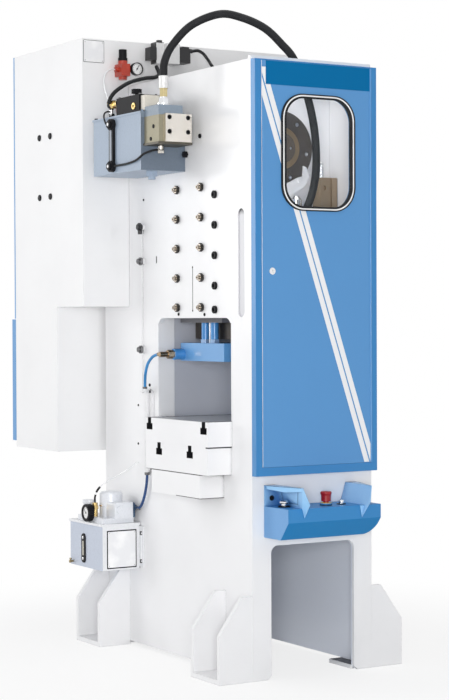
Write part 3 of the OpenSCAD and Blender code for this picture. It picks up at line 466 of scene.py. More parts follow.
def surface(name, grids, finish, body="frame", loop=False, smooth=True):
    """One mesh from grids of points g[i, j]: j closes on itself, i only with loop, else caps fill it."""
    points, polygons, start = [], [], 0
    for g in grids:
        rows, cols = g.shape[:2]
        i, j = np.meshgrid(np.arange(rows if loop else rows - 1), np.arange(cols), indexing="ij")
        n, k = (i + 1) % rows, (j + 1) % cols
        quads = np.stack([i * cols + j, i * cols + k, n * cols + k, n * cols + j], -1).reshape(-1, 4)
        polygons += (quads + start).tolist()
        if not loop:
            polygons += [list(range(start + cols - 1, start - 1, -1)),
                         list(range(start + (rows - 1) * cols, start + rows * cols))]
        points.append(g.reshape(-1, 3))
        start += rows * cols
    mesh = bpy.data.meshes.new(name)
    mesh.from_pydata(np.vstack(points).tolist(), [], polygons)
    work = bmesh.new()
    work.from_mesh(mesh)
    bmesh.ops.remove_doubles(work, verts=work.verts, dist=1e-7)
    bmesh.ops.recalc_face_normals(work, faces=work.faces)
    work.to_mesh(mesh)
    work.free()
    mesh.polygons.foreach_set("use_smooth", np.full(len(mesh.polygons), smooth))
    if smooth:
        mesh.set_sharp_from_angle(angle=np.radians(36))
    mesh.materials.append(finish.material)
    made = linked(name, mesh)
    if body:
        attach(made, body)
    print(name, len(mesh.polygons), "faces on", body)
    return made


def circle(count):
    """The angles of count points round a circle."""
    return np.linspace(0, 2 * np.pi, count, endpoint=False)


def frame_of(axis):
    """Two unit vectors square to axis, so that (first, second, axis) is right-handed."""
    axis = np.asarray(axis, float) / np.linalg.norm(axis)
    first = np.cross((0.0, 0.0, 1.0) if abs(axis[2]) < 0.9 else (0.0, 1.0, 0.0), axis)
    first /= np.linalg.norm(first)
    return first, np.cross(axis, first), axis


def turned(profile, centre, axis, count):
    """Rows (radius, height) in mm, each spun round axis: centre + height * axis + radius * (cos a, sin a)."""
    rows = np.asarray(profile, float) / 1000
    u, v, w = frame_of(axis)
    a = circle(count)
    rim = np.cos(a)[:, None] * u + np.sin(a)[:, None] * v
    return np.asarray(centre) + rows[:, 1, None, None] * w + rows[:, 0, None, None] * rim


def hexagon(across, low, high, centre, axis):
    """A six-sided nut that wide across its flats, from low to high along axis, its corners turned off."""
    r = across / np.sqrt(3)
    rows = [(r * 0.93, low), (r, low + 0.07 * across), (r, high - 0.07 * across), (r * 0.93, high)]
    return turned(rows, centre, axis, 6)


def slab(outline, corner, u, v, depth, edge):
    """(a, b) in mm at corner + a * u + b * v, raised by depth along u x v, its rim eased by edge."""
    o = np.asarray(outline, float)
    mid = o.mean(0)
    inset = mid + (o - mid) * (1 - edge / np.abs(o - mid).max())
    w = np.cross(u, v)
    rows = [(o, 0.0), (o, depth - edge), (inset, depth)]
    return np.stack([np.asarray(corner) + (p[:, :1] * u + p[:, 1:] * v + h * w) / 1000 for p, h in rows])


def rounded(width, height, radius, steps):
    """A rectangle's outline about its middle, with a quarter circle of steps points at each corner."""
    a = np.linspace(0, np.pi / 2, steps)
    arc = np.stack([np.cos(a), np.sin(a)], 1) * radius
    quarter = np.array([[0, 1], [-1, 0]])
    reach = np.array([width / 2 - radius, height / 2 - radius])
    corners = enumerate([(1, 1), (-1, 1), (-1, -1), (1, -1)])
    return np.vstack([arc @ np.linalg.matrix_power(quarter, k) + reach * signs for k, signs in corners])


# %% [markdown]
# A hose is a circle carried along a smooth route. The route is read at even steps, so that a pattern along
# the hose keeps its pitch round the bends.

# %% Curves and tubes
def smooth_path(points, count):
    """A Catmull-Rom curve through points, read at count even steps of its length."""
    p = np.asarray(points, float)
    ends = np.vstack([2 * p[0] - p[1], p, 2 * p[-1] - p[-2]])
    t = np.linspace(0, len(p) - 1, len(p) * 24)
    i = np.minimum(t.astype(int), len(p) - 2)
    u = (t - i)[:, None]
    a, b, c, d = ends[i], ends[i + 1], ends[i + 2], ends[i + 3]
    fine = 0.5 * (2 * b + (c - a) * u + (2 * a - 5 * b + 4 * c - d) * u**2 + (3 * b - a - 3 * c + d) * u**3)
    along = np.r_[0, np.cumsum(np.linalg.norm(np.diff(fine, axis=0), axis=1))]
    even = np.linspace(0, along[-1], count)
    return np.stack([np.interp(even, along, fine[:, k]) for k in range(3)], 1)


def tube(path, radius, ref, sides, ridge=0.0, pitch=0.004):
    """Circles square to path, of radius + ridge * sin(angle + 2 pi s / pitch) metres: a helical ridge."""
    tangent = np.gradient(path, axis=0)
    tangent /= np.linalg.norm(tangent, axis=1)[:, None]
    u = np.cross(tangent, np.asarray(ref, float))
    u /= np.linalg.norm(u, axis=1)[:, None]
    v = np.cross(tangent, u)
    a = circle(sides)[None, :]
    s = np.r_[0, np.cumsum(np.linalg.norm(np.diff(path, axis=0), axis=1))][:, None]
    r = (radius + ridge * np.sin(a + 2 * np.pi * s / pitch))[:, :, None]
    return path[:, None] + r * (np.cos(a)[:, :, None] * u[:, None] + np.sin(a)[:, :, None] * v[:, None])


def hose(points, count, *section):
    """A tube along the smooth curve through fitter's points; section is what tube takes after its path."""
    return tube(smooth_path(route(points), count), *section)


# %% [markdown]
# The big hose feeds oil to the slide's overload cushion. It is wire-braided under its cover, so its skin
# shows a fine spiral. It takes one easy curve from the tank, over the head, down behind the door.

# %% Main hose
main = hose([(-133, 445, 2373), (-130, 441, 2430), (-105, 421, 2495), (-46, 370, 2572), (38, 295, 2612),
             (108, 238, 2596), (176, 176, 2551), (228, 134, 2487), (269, 104, 2422), (320, 98, 2300),
             (352, 98, 2190), (366, 98, 2090), (366, 98, 1990), (352, 104, 1900), (328, 124, 1820),
             (302, 154, 1756), (284, 184, 1722), (276, 212, 1710), (274, 236, 1708)],
            1500, 0.0158, (0.563, 0.827, 0.05), 20, 0.00016, 0.0062)
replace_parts(surface("main_hose_cover", [main], rubber), "main_hose")

# %% [markdown]
# A ferrule is a steel cup crimped onto the hose, so it shows a few shallow rings and a rolled lip.

# %% Crimped ferrule
CUP = [(17.0, 0), (19.2, 1.5), (19.3, 6), (18.5, 7.5), (19.3, 10), (18.5, 12.5), (19.3, 15), (18.5, 17.5),
       (19.3, 20), (19.4, 40), (19.9, 44), (19.9, 49), (18.9, 50.5), (14.2, 50.6)]
surface("hose_ferrule", [turned(CUP, at(-133, 445, 2323), Z, 36)], ferrule)

# %% [markdown]
# The blue hose carries pressure to the die clamp. Its upper end moves with the slide and its lower end is
# fixed to the frame. The piece is not attached to either body.

# %% Clamp hose
CLAMP = [(-24, 695, 1254), (-26, 707, 1252), (-34, 730, 1241), (-40, 757, 1213), (-40, 777, 1172),
         (-35, 791, 1134), (-33, 795, 1108)]
clamp_hose = surface("clamp_hose_cover", [hose(CLAMP, 240, 0.0060, (1, 0.2, 0), 18, 0.00008, 0.005)],
                     hose_blue, body=None)
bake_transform(clamp_hose)
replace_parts(clamp_hose, "clamp_hose")

# %% [markdown]
# The thin return tube leaves the manifold through a swivel fitting and runs along the tank to the level
# gauge's lower bolt. A nut, a stem and a banjo head are three turned pieces. A thinner line runs from the
# valve down to the gauge's upper bolt.

# %% Return tube
RETURN = [(-158, 446, 2077), (-172, 446, 2076), (-188, 446, 2072), (-203, 456, 2066), (-210, 476, 2060),
          (-212, 500, 2050), (-212, 526, 2042), (-212, 560, 2036), (-212, 620, 2031), (-212, 690, 2030),
          (-212, 720.8, 2030)]
LEVEL = [(-187.1, 808, 2262), (-198, 808, 2262), (-212, 805, 2254), (-218, 800, 2238), (-218, 793, 2222),
         (-216, 785, 2208), (-213, 776, 2202), (-213, 767.1, 2202)]
PORT = at(-146, 446, 2066)
return_tube = surface("return_tube_line", [hose(RETURN, 160, 0.0045, Z, 14),
                                           hose(LEVEL, 120, 0.0035, (0, -0.4, 0.9), 12)], rubber)
surface("return_fitting", [turned([(10, 0), (10, 30)], PORT, Z, 24), hexagon(24, -2, 10, PORT, Z),
                           turned([(6, 0), (7, 1), (7, 12), (8, 13), (8, 20)], at(-160, 446, 2077), X, 20)],
        pale_zinc)
surface("return_rings", [turned([(12.6, low), (12.6, low + 2.2)], PORT, Z, 24) for low in (9.8, 27)], black)
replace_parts(return_tube, "return_tube")

# %% [markdown]
# Two lines leave the lubrication pump: a blue-black hose to the pipe flange above it, and a thin tube with
# black end sleeves that goes to the slide guides.

# %% Lubrication lines
LUBE = [(-14, 900, 596), (-14, 889, 597), (-14, 866, 612), (-14, 842, 646), (-14, 824, 690), (-15, 814, 728),
        (-15, 812, 748)]
THIN = [(-146, 1040, 615), (-146, 1038, 642), (-138, 1024, 674), (-112, 998, 706), (-60, 962, 742),
        (-24, 928, 774), (-10, 918, 788), (-0.6, 916, 789)]
THIN_SIDE = (0.6, 0.75, 0.2)
thin = smooth_path(route(THIN), 200)
lube = surface("lubrication_hose", [hose(LUBE, 160, 0.0058, (1, 0, 0.2), 18)], navy)
surface("lubrication_line", [tube(thin, 0.0027, THIN_SIDE, 12)], clear_tube)
surface("line_sleeves", [tube(thin[:26], 0.0042, THIN_SIDE, 12), tube(thin[34:56], 0.0046, THIN_SIDE, 12)],
        black)
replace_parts(lube, "lube_hose")

# %% [markdown]
# The solenoid cable and the valve's air hose keep their CAD routes, each in a smooth skin just outside it.
# The thin clear tube from the regulator down to the valve is drawn only here.

# %% Cable and air hose skins
CABLE = [(296, 958, 2566), (306, 957, 2568), (326, 954, 2570), (348, 948, 2558), (364, 936, 2532),
         (374, 914, 2500), (380, 870, 2466), (390, 800, 2444), (401, 720, 2436), (405, 682, 2424),
         (405, 670, 2404)]
AIR = [(-196, 800, 2294), (-188, 793, 2322), (-160, 788, 2353), (-100, 790, 2388), (-22, 808, 2411),
       (50, 842, 2425), (94, 890, 2448), (110, 940, 2484)]
LOOP = [(-84, 955, 2462), (-104, 952, 2461), (-128, 944, 2448), (-147, 934, 2420), (-156, 915, 2380),
        (-162, 880, 2338), (-172, 840, 2305), (-178, 822, 2292)]
surface("solenoid_cable", [hose(CABLE, 160, 0.0066, (0.5, 0.1, 0.9), 16)], rubber)
surface("air_hose", [hose(AIR, 200, 0.0082, (0.6, -0.8, 0.3), 18)], rubber)
surface("air_loop", [hose(LOOP, 120, 0.0030, THIN_SIDE, 12)], clear_tube)

# %% [markdown]
# The door carries two slanting white stripes, a darker blue band along its top and a piano hinge. Stripes and
# band are thin foil, so they stand 0.3 mm proud. Where the stripes meet the window they run under its seal.

# %% Stripes and band
DOOR_Y, DOOR_LOW, DOOR_HIGH = -31.0, 829, 2390
STRIPES = [[(507, 830), (530.3, 830), (197.7, 1828), (174.3, 1828)],
           [(128, 1967), (128, 2037), (29.6, 2332.2), (29.6, 2262.2)],
           [(536.4, 830), (536.6, 830), (536.6, 901), (227.7, 1828), (203.7, 1828)],
           [(128, 2055), (128, 2127), (70.3, 2300), (46.3, 2300)],
           [(46.3, 2300.5), (48.6, 2300.5), (48.6, 2366), (29.6, 2366), (29.6, 2350.5)]]
BAND = [(49, 2300), (537, 2300), (537, 2390.5), (49, 2390.5)]
foils = [slab(outline, at(0, DOOR_Y, 0), X, Z, 0.3, 0.05) for outline in STRIPES]
surface("door_stripes", foils, stripe_white, body="door", smooth=False)
surface("door_band", [slab(BAND, at(0, DOOR_Y, 0), X, Z, 0.35, 0.05)], band_blue, body="door", smooth=False)

# %% [markdown]
# A piano hinge is a long row of knuckles rolled round one pin. Its outline along the pin repeats: 28 mm of
# barrel, then a narrow gap. A thin metal strip closes the door's other edge.

# %% Piano hinge and closing strip
def piano_hinge(name, low, high, neck, barrel, x, y, sides, body):
    """One turned column: a knuckle of radius barrel every 30 mm from low to high, with a neck at each end."""
    foot = np.arange(low, high, 30.0)[:, None]
    radii = np.tile([neck, barrel, barrel, neck], (len(foot), 1))
    rows = np.stack([radii.ravel(), (foot + [0, 0.6, 28.4, 29.0]).ravel()], 1)
    surface(name, [turned(rows, at(x, y, 0), Z, sides)], door_blue, body)


piano_hinge("piano_hinge", DOOR_LOW, DOOR_HIGH - 1, 3.1, 3.9, 540.4, DOOR_Y, 14, "door")
edge = route([(29.6, DOOR_Y - 0.6, z) for z in (DOOR_LOW, DOOR_HIGH)])
surface("closing_strip", [tube(edge, 0.0011, X, 8)], aluminium, body="door")

# %% [markdown]
# The window seal is a rubber section with a pale locking bead pressed into its middle. Bead and lips are
# loops closed both ways: a flattened round section carried round the window's outline.

# %% Window bead
WINDOW_X, WINDOW_Z = 290.5, 2045


def bead(width, height, radius, r, y, flat=0.5):
    """A section r wide and flat * r deep carried round a rounded rectangle about the window's middle."""
    o = rounded(width, height, radius, 14)
    d = np.roll(o, -1, 0) - np.roll(o, 1, 0)
    out = np.stack([d[:, 1], -d[:, 0]], 1) / np.linalg.norm(d, axis=1)[:, None]
    a = circle(12)
    plane = o[:, None] + r * np.cos(a)[None, :, None] * out[:, None]
    rise = (r * flat * np.sin(a))[None, :, None]
    return at(WINDOW_X, y, WINDOW_Z) + (plane[..., :1] * X + plane[..., 1:] * Z - rise * Y) / 1000


surface("window_bead", [bead(326.5, 439, 91, 2.9, DOOR_Y - 6)], bead_pale, body="door", loop=True)
surface("window_lips", [bead(339.5, 449, 96.5, 2.6, DOOR_Y - 5.4, 0.9),
                        bead(308, 425, 84.5, 3.4, DOOR_Y - 5.4, 0.7)], rubber, body="door", loop=True)

# %% [markdown]
# Rating plates are thin etched sheets held by four rivets, each on a slightly larger black rim. Here they are
# left bare.

# %% Plates and rivets
RIVET = [(3.2, 0), (3.0, 0.9), (2.0, 1.7), (0.6, 2.1)]


def plate(name, x0, x1, z0, z1, y):
    """A bare plate facing -Y between those edges, with a rivet 6 mm in from each corner."""
    face = slab(rounded(x1 - x0, z1 - z0, 3, 5), at((x0 + x1) / 2, y, (z0 + z1) / 2), X, Z, 1.0, 0.3)
    spots = [at(x, y - 1.0, z) for x in (x0 + 6, x1 - 6) for z in (z0 + 6, z1 - 6)]
    surface(name, [face], plate_white)
    surface(name + "_rivets", [turned(RIVET, spot, -Y, 12) for spot in spots], steel)


surface("guard_plate_rim", [slab(rounded(99, 94, 4, 4), at(-166.5, 990, 2537), X, Z, 0.5, 0.2)], black)
plate("guard_plate", -214, -119, 2492, 2582, 989.5)
surface("lube_plate_rim", [slab(rounded(141.5, 162, 2, 4), at(-90.2, 902, 426), X, Z, 0.8, 0.3)], black)
plate("lube_plate", -156.5, -24, 350, 502, 901.2)

# %% [markdown]
# A dial is a white disc with a ring of ticks and a dark rim. The ticks are short bars set round an arc.

# %% Dials
def dial(name, centre, axis, radius):
    """A disc of that radius and tick bars every 15 degrees over 270, about centre and facing axis."""
    u, v, w = frame_of(axis)
    bars = []
    for k, t in enumerate(np.radians(np.arange(-135, 136, 15))):
        along, across = np.sin(t) * u + np.cos(t) * v, np.sin(t) * v - np.cos(t) * u
        inner, outer = radius * (0.70 if k % 2 == 0 else 0.78), radius * 0.88
        bars.append(slab([(inner, -0.5), (outer, -0.5), (outer, 0.5), (inner, 0.5)], centre + w * 0.0006,
                         along, across, 0.2, 0.05))
    surface(name + "_face", [turned([(radius, 0), (radius, 0.6)], centre, axis, 48)], dial_white)
    surface(name + "_ticks", bars, black, smooth=False)


AIR_RIM = [(23.9, 0), (27.2, 0), (27.2, 1.2), (26.2, 2.2), (24.6, 2.0), (23.9, 1.2)]
LUBE_RIM = [(24.6, 0), (37.0, 0), (37.4, 2), (35.8, 5), (31.0, 5.6), (26.4, 5.0), (24.8, 2.6)]
dial("air_dial", at(4, 919.95, 2466), -Y, 23.7)
surface("air_dial_rim", [turned(AIR_RIM, at(4, 916.1, 2466), -Y, 48)], black, loop=True)
dial("lube_dial", at(-186, 1046, 573), -X, 25)
surface("lube_dial_rim", [turned(LUBE_RIM, at(-185.5, 1046, 573), -X, 48)], black, loop=True)
pointer = slab([(-1.2, -6), (1.2, -6), (0.5, 19), (-0.5, 19)], at(-187.2, 1046, 573), (Z - Y) * 0.7,
               (Z + Y) * 0.7, 0.5, 0.1)
surface("lube_pointer", [pointer, turned([(4, 0), (3, 1.6)], at(-186.6, 1046, 573), -X, 20)], black)

# %% [markdown]
# Oil levels are read through sight glasses. The hydraulic tank has a tall plastic one between two hollow
# bolts, the lubrication tank an oblong one and a clear tube at its corner.

# %% Sight glasses
surface("level_window", [slab(rounded(15, 128, 6, 6), at(-216, 744, 2116), -Y, Z, 2.0, 0.6)], pale_strip)
surface("level_bolts", [turned([(7, 0), (7, 1.6), (5, 2.2), (4, 1.0)], at(-230, 744, z), -X, 20)
                        for z in (2030, 2202)], steel)
surface("sight_frame", [slab(rounded(34, 126, 16.9, 10), at(-181, 1076, 419), -Y, Z, 5.0, 1.0)], black)
surface("sight_window", [slab(rounded(13, 64, 6, 6), at(-186, 1076, 419), -Y, Z, 0.8, 0.2)], amber)
surface("sight_screws", [turned([(7, 0), (7, 2), (5, 3)], at(-186, 1076, z), -X, 20) for z in (374, 464)],
        steel)
surface("corner_tube", [turned([(4.6, 0), (4.6, 119)], at(-4.9, 884, 371), Z, 16)], clear_tube)
surface("tube_ends", [turned([(5, 0), (7, 1), (7, 15), (5, 16)], at(-4.9, 884, z), Z, 16)
                      for z in (363, 482)], black)

# %% [markdown]
# A socket screw is a turned head with a six-sided recess, so its profile changes from 24 points round to a
# hexagon inside. Screws, plugs and buttons of blackened steel look black.

# %% Screws and plugs
def socket_screw(centre, axis, r, h):
    """A head r in radius and h high: circles up to the rim, then a hexagon of 0.5 r sunk by 0.55 h."""
    a = circle(24)
    hexed = 0.5 * r / np.cos((a + np.pi / 6) % (np.pi / 3) - np.pi / 6)
    u, v, w = frame_of(axis)
    rim = np.cos(a)[:, None] * u + np.sin(a)[:, None] * v
    rows = [(r, 0), (r, 0.9 * h), (0.93 * r, h), (hexed, h), (hexed, 0.45 * h)]
    return np.stack([centre + ((np.ones(24) * q)[:, None] * rim + d * w) / 1000 for q, d in rows])


SHAFT_Z = 2085


def round_shaft(radius, y, degrees):
    """Places on a circle about the shaft's axis."""
    return [at(MIDDLE + radius * np.cos(t), y, SHAFT_Z + radius * np.sin(t)) for t in np.radians(degrees)]


def blackened(name, grids):
    surface(name, grids, black)


BUTTON = np.array([(6.5, 0), (6.5, 2.0), (5.4, 3.4), (2.0, 4.2), (0.5, 4.3)])
BUTTONS = [(562.6, 1420, 1), (354, 1418, 1), (812, 1122.6, 1), (914, 1034, 0.75), (916, 870, 0.75),
           (844, 881, 0.75), (859, 1905, 0.75)]
flange = round_shaft(125, 229.5, range(-9, 292, 60))
surface("flange_screws", [socket_screw(spot, -Y, 7.6, 7.0) for spot in flange], steel)
blackened("manifold_screws", [socket_screw(at(x, 380, z), -Y, 8.6, 7.0) for x in (-147, -62)
                              for z in (2202, 2145)])
blackened("guard_plugs", [turned([(8, 0), (8, 2), (6, 3)], at(-188, y, z), -X, 20)
                          for y, z in ((430, 2168), (452, 2120))])
shaft_end = round_shaft(38, 215, (0, 120, 240))
surface("shaft_end_screws", [socket_screw(spot, -Y, 5.4, 6) for spot in shaft_end], steel, body="crank")
blackened("cap_screws", [socket_screw(at(x, 270, z), side, 15.5, 9.5) for x, side in ((0, -X), (WIDE, X))
                         for z in (1437, 1532, 1652.5, 1773, 1893.5)])
blackened("side_buttons", [turned(BUTTON * size, at(0, y, z), -X, 16) for y, z, size in BUTTONS])
blackened("sheet_plugs", [turned([(14, 0), (14, 3), (12, 5.4), (6, 6)], at(GUARD_LEFT, y, z), -X, 24)
                          for y in (1303, 1411) for z in (1938.5, 2202.5)])
blackened("side_plugs", [hexagon(17, 0, 6, at(0, 382, 2134), -X), hexagon(24, 0, 16, at(0, 493, 2068), -X),
                         hexagon(11, 0, 6, at(-12.5, 846, 1094), -X),
                         hexagon(11, 0, 6, at(-12.5, 786, 1096), -X)])
# The slits are thin dark slabs on the side plate: painted shade inside them.
surface("side_slits", [slab(rounded(3.2, 176, 1.4, 3), at(-0.1, 449, 1522), -Y, Z, 0.5, 0.1),
                       slab(rounded(7, 30, 3.2, 5), at(-0.1, 749, 1649), -Y, Z, 0.8, 0.2)], slit_shade,
        smooth=False)
blackened("slit_ends", [turned([(3.6, 0), (3.6, 1.2), (2.4, 1.8)], at(-0.1, 449, z), -X, 14)
                        for z in (1434, 1610)])
surface("block_screws", [socket_screw(at(x, y, 2309), Z, 5, 5) for x in (-180, -106) for y in (556, 731)],
        iron)

# %% [markdown]
# Each push button sits in a moulded collar. The rings are low enough for a button's travel: 8 mm at the palm
# buttons, 5 mm at the stop button and 4 mm at the start button.

# %% Button collars
DESK_Z, BORE = 676, 11.6
STOP, START, PALMS = [(275, -100)], [(347, -100)], [(100, -72), (439, -72)]


def collar(name, outline, spots, finish):
    """A ring on the desk at each spot: an outline of (radius, height) outside, a straight bore inside."""
    rows = [(BORE, outline[0][1]), *outline, (BORE, outline[-1][1])]
    surface(name, [turned(rows, at(x, y, DESK_Z), Z, 40) for x, y in spots], finish, loop=True)


collar("stop_collar", [(23.8, 0), (23.8, 3.6), (22.6, 4.6)], STOP, black)
collar("stop_ring", [(22.0, 4.6), (22.0, 9.6), (20.8, 10.6)], STOP, yellow)
collar("start_collar", [(19, 0), (18.6, 2.2), (17.2, 3.3)], START, black)
collar("palm_collars", [(25.5, 0), (25.0, 1.6), (23.5, 2.2)], PALMS, black)
collar("palm_rings", [(22.0, 2.2), (22.6, 4.2), (21.6, 5.6)], PALMS, black)

# %% [markdown]
# A hood over each palm button keeps a sleeve or a tool from pressing it. It is folded sheet: a back, a
# three-cornered roof with its free edge turned down, and a leaning wall that runs out past the desk and comes
# back to it in a point. Each panel is an outline of corners and a copy moved by the sheet's thickness.

# %% Hoods
FOOT, BACK = DESK_Z + 0.2, -0.2


def sheet(corners, shift):
    """Two rows of points: the (x, y, z) corners in mm, and the same corners + shift."""
    p = route(corners)
    return np.stack([p, p + np.array(shift) / 1000])


def hood(edge, foot, crest, roof, top, near, wide, tip):
    """Back, roof, turned rim, wall and front: edge, foot and crest are x at the back, the rest are points."""
    side = 1 if foot > edge else -1
    corner, top = np.array([edge, -18, roof]), np.array(top)
    middle = (corner + top) / 2
    rim = [corner, top, top - (0, 0, 15), middle - (0, 0, 21), corner - (0, 0, 14)]
    back = [(edge, BACK, FOOT), (foot, BACK, FOOT), (crest, BACK, roof), (edge, BACK, roof)]
    return [sheet(back, (0, -2.5, 0)),
            sheet([back[3], back[2], top, corner], (0, 0, -2.5)),
            sheet(rim, (2.4 * side, 0.75, 0)),
            sheet([back[1], near, top, back[2]], (-2.5 * side, 0, 0)),
            sheet([near, tip, wide, top], (-2.5 * side, 0, 0))]


left_hood = hood(54, 127, 104, 757,
                 (108.5, -191.5, 757), (119, -172.5, 675), (124, -217, 694), (127.5, -174, 641))
right_hood = hood(485, 412, 435, 751,
                  (428.3, -188, 751), (405.7, -172.5, 675), (408, -206.4, 688), (392, -174, 631))
tab = sheet([(384, -174.2, 675), (393, -174.2, 631), (405, -174.2, 675)], (0, 1.5, 0))
hoods = surface("hood_panels", [*left_hood, *right_hood, tab], hood_blue, smooth=False)
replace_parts(hoods, "hand_hoods")
SCREW = at(88, -2.7, 706)
blackened("hood_screw", [turned([(10.5, 0), (10.5, 0.8), (9.7, 1.4)], SCREW, -Y, 24),
                         hexagon(13, 1, 6, SCREW, -Y)])

# %% [markdown]
# Where the feet meet the side plates they are welded. A weld bead is a slightly wavy fillet, made by letting
# the tube's ridge run along it.

# %% Weld beads
surface("weld_beads", [hose([(-0.5, y, z) for z in (22, 120, 220, 328)], 150, 0.0024, Y, 8, 0.0005, 0.006)
                       for y in (0.6, 20, 199.6, 219.6, 996.6, 1016, 1195.6, 1215.4)], white)

# %% [markdown]
# A pad is welded under each leg, inside the side plate, so that the press stands on more than the plate's
# edge. Its top is left in dark primer.

# %% Pads under the legs
pads = [(x, y) for y in (104, DEEP - 104) for x in (53, WIDE - 53)]
surface("leg_pads", [slab(rounded(62, 160, 6, 4), at(x, y, 0), X, Y, 15.4, 1.0) for x, y in pads], white)
surface("pad_primer", [slab(rounded(56, 154, 4, 4), at(x, y, 15.2), X, Y, 0.8, 0.2) for x, y in pads], primer)

# %% [markdown]
# The back has a louvred cover over the flywheel, held by hexagon screws, and under it a hinged door over the
# motor, shut by a quarter-turn lock.

# %% Back screws and lock
surface("cover_screws", [hexagon(13, 0, 5.5, at(x, GUARD_BACK + 12, z), Y)
                         for x in (GUARD_LEFT + 25, (GUARD_LEFT + GUARD_RIGHT) / 2, GUARD_RIGHT - 25)
                         for z in (1432, 2000, 2566)], steel)
LOCK = at(GUARD_LEFT + 40, GUARD_BACK + 40, 1125)
surface("rear_lock", [turned([(0.01, 0), (14, 0), (14, 4), (12, 5.4), (0.01, 5.4)], LOCK, Y, 32)], chrome,
        body="rear_door")
surface("rear_lock_key", [slab([(-6, -4), (6, -4), (0, 7)], LOCK + 0.0054 * Y, -X, Z, 1.2, 0.2)], black,
        body="rear_door", smooth=False)
piano_hinge("rear_hinge", 853, 1400, 3.0, 4.1, GUARD_RIGHT - 4, GUARD_BACK + 4, 12, "rear_door")

# %% [markdown]
# The motor is air-cooled: thin fins run along its body. They are slabs set round the axis.

# %% Motor fins
MOTOR, FIN = at(MIDDLE, 1515, 1120), [(-115, -1.4), (115, -1.4), (115, 1.4), (-115, 1.4)]
fins = []
for t in np.radians(np.arange(-35, 216, 10)):
    out = np.cos(t) * X + np.sin(t) * Z
    fins.append(slab(FIN, MOTOR + out * 0.1045, Y, np.cross(out, Y), 11, 0.4))
surface("motor_fins", fins, unit_grey, smooth=False)

# %% [markdown]
# Small fittings: the nuts at the ends of the hoses, the strip that carries the white pipe, the tank's drain
# tap and the valve's red seal and brass port.

# %% Small fittings
drab = metal("dull_brass", (0.36, 0.29, 0.17), 0.4, tarnish=(0.22, 0.17, 0.10))
surface("pipe_nuts", [hexagon(22, 0, 11, at(-15, 812, 744), Z), hexagon(17, 0, 8, at(-14, 892, 588), Z),
                      hexagon(19, 0, 9, at(-33, 795, 1107.5), Z)], iron)
surface("pipe_strip", [slab(rounded(51, 311, 2, 3), at(-0.1, 800.5, 936.2), -Y, Z, 8, 1)], pipe_white)
surface("drain_tap", [turned([(4, 0), (5, 1), (5, 12), (7, 13), (7, 18), (4, 19)], at(-181, 1180, 352),
                             -X, 20),
                      turned([(2.5, 0), (2.5, 9), (5.5, 10), (5.5, 14)], at(-194, 1180, 352), Z, 16)], drab)
surface("valve_seal", [turned([(12, 0), (15, 1.5), (15, 8), (12, 9.5)], at(-178, 738, 2262), -X, 20)], red)
surface("valve_port", [turned([(6.0, 0), (15, 0), (15, 3), (12.5, 5), (7, 5), (6.0, 3)], at(-190, 590, 2264),
                              -X, 28)], brass, loop=True)

# %% [markdown]
# The floor is plain and pale. Away from the press it shows the camera plain white, through Light Path and Mix
# Shader, and the nearer floor keeps the shadow. Soft light comes from a plain sky all round.

# %% Floor and sky
def looked_at(tree):
    """1 for rays from the camera, in mirrors and through glass, which see plain white."""
    ray = tree.node("ShaderNodeLightPath")
    eye, mirror, glazing = (ray[f"Is {kind} Ray"] for kind in ("Camera", "Glossy", "Transmission"))
    return 1 - (1 - eye) * (1 - mirror) * (1 - glazing)


bpy.ops.mesh.primitive_plane_add(size=60, location=(0, 0, 0))
floor = bpy.context.object
floor.name = "floor"
pale = Finish("floor_paint", (0.94, 0.94, 0.94))
pale.paint(pale.noise(1.5), (0.96, 0.96, 0.96))
pale.set(Roughness=0.9)
away = pale.node("ShaderNodeVectorMath", {"operation": "LENGTH"}, pale.coordinates)["Value"]
glow = pale.node("ShaderNodeEmission", None, (1.0, 1.0, 1.0), 1.0)
share = looked_at(pale) * (0.78 + 0.22 * away.step(0.9, 2.4))
paint = Val(pale, pale.shader.outputs[0])
pale.feed(pale.surface, pale.node("ShaderNodeMixShader", None, share, paint, glow))
floor.data.materials.append(pale.material)

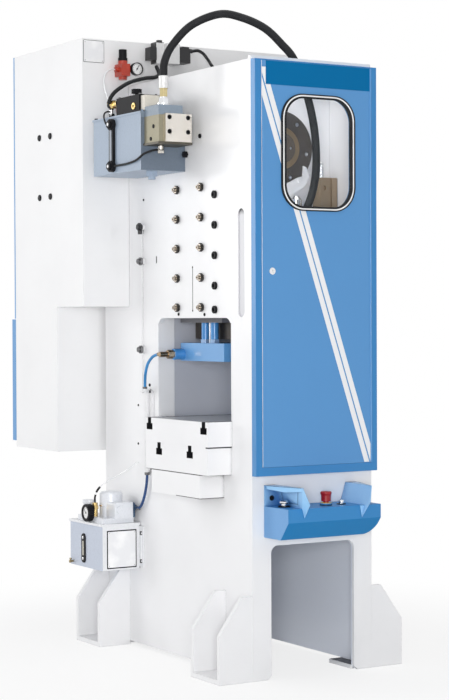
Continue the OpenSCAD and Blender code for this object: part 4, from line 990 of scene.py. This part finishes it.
world = bpy.data.worlds.new("studio")
bpy.context.scene.world = world
world.use_nodes = True
sky = Nodes(world.node_tree)
light = sky.node("ShaderNodeBackground", None, (0.98, 0.985, 1.0), 0.40)
shown = sky.node("ShaderNodeBackground", None, (1.0, 1.0, 1.0), 1.0)
out = sky.tree.nodes.new("ShaderNodeOutputWorld")
sky.feed(out.inputs["Surface"], sky.node("ShaderNodeMixShader", None, looked_at(sky), light, shown))
print("floor", floor.name, "and sky", world.name)

# %% [markdown]
# Four large area lamps: one high on the left, one behind it that glances off the left faces, a soft one in
# front beside the camera, and one overhead. Two small ones hide inside, above and below the window, so that
# the shaft end can be seen through it.

# %% Lamps
def lamp(name, place, aim, size, power):
    """A round area lamp of that size in metres, turned to face aim."""
    data = bpy.data.lights.new(name, "AREA")
    data.shape, data.size, data.energy = "DISK", size, power
    made = linked(name, data)
    made.location = place
    made.rotation_euler = (Vector(aim) - Vector(place)).to_track_quat("-Z", "Y").to_euler()
    print(name, power, "W")


lamp("key", (-6.0, -2.5, 4.5), (0, 0, 1.3), 4.0, 15)
lamp("side", (-5.5, 5.0, 2.6), (0, 0, 1.4), 4.0, 135)
lamp("front", (-4.6, -7.4, 1.5), (0, 0, 1.2), 2.4, 290)
lamp("over", (0.0, -0.5, 7.0), (0, 0, 1.0), 5.0, 120)
lamp("inside_top", at(281, 118, 2362), at(290, 255, 1900), 0.15, 0.30)
lamp("inside_low", at(170, 110, 1765), at(330, 255, 2150), 0.15, 0.55)

# %% [markdown]
# The camera stands about 7.8 m away at chest height, turned 31 degrees round to the left of the press, with a
# long lens, so upright lines stay almost parallel.

# %% Camera
EYE, LENS = (-4.0568, -6.6656, 1.3976), 95.5286
turn, tilt, roll = np.radians([-31.1, 0.94, -0.23])
back = np.array([np.sin(turn) * np.cos(tilt), -np.cos(turn) * np.cos(tilt), np.sin(tilt)])
right = np.array([np.cos(turn), np.sin(turn), 0.0])
up = np.cross(back, right)
across = np.cos(roll) * right + np.sin(roll) * up
upward = -np.sin(roll) * right + np.cos(roll) * up
data = bpy.data.cameras.new("camera")
data.lens, data.sensor_width, data.clip_end = LENS, 36.0, 200.0
camera = linked("camera", data)
matrix = np.eye(4)
matrix[:3] = np.stack([across, upward, back, EYE], 1)
camera.matrix_world = Matrix(matrix.tolist())
bpy.context.scene.camera = camera
bpy.context.scene.view_settings.view_transform = "Standard"
print("camera", EYE, "lens", LENS, "mm")
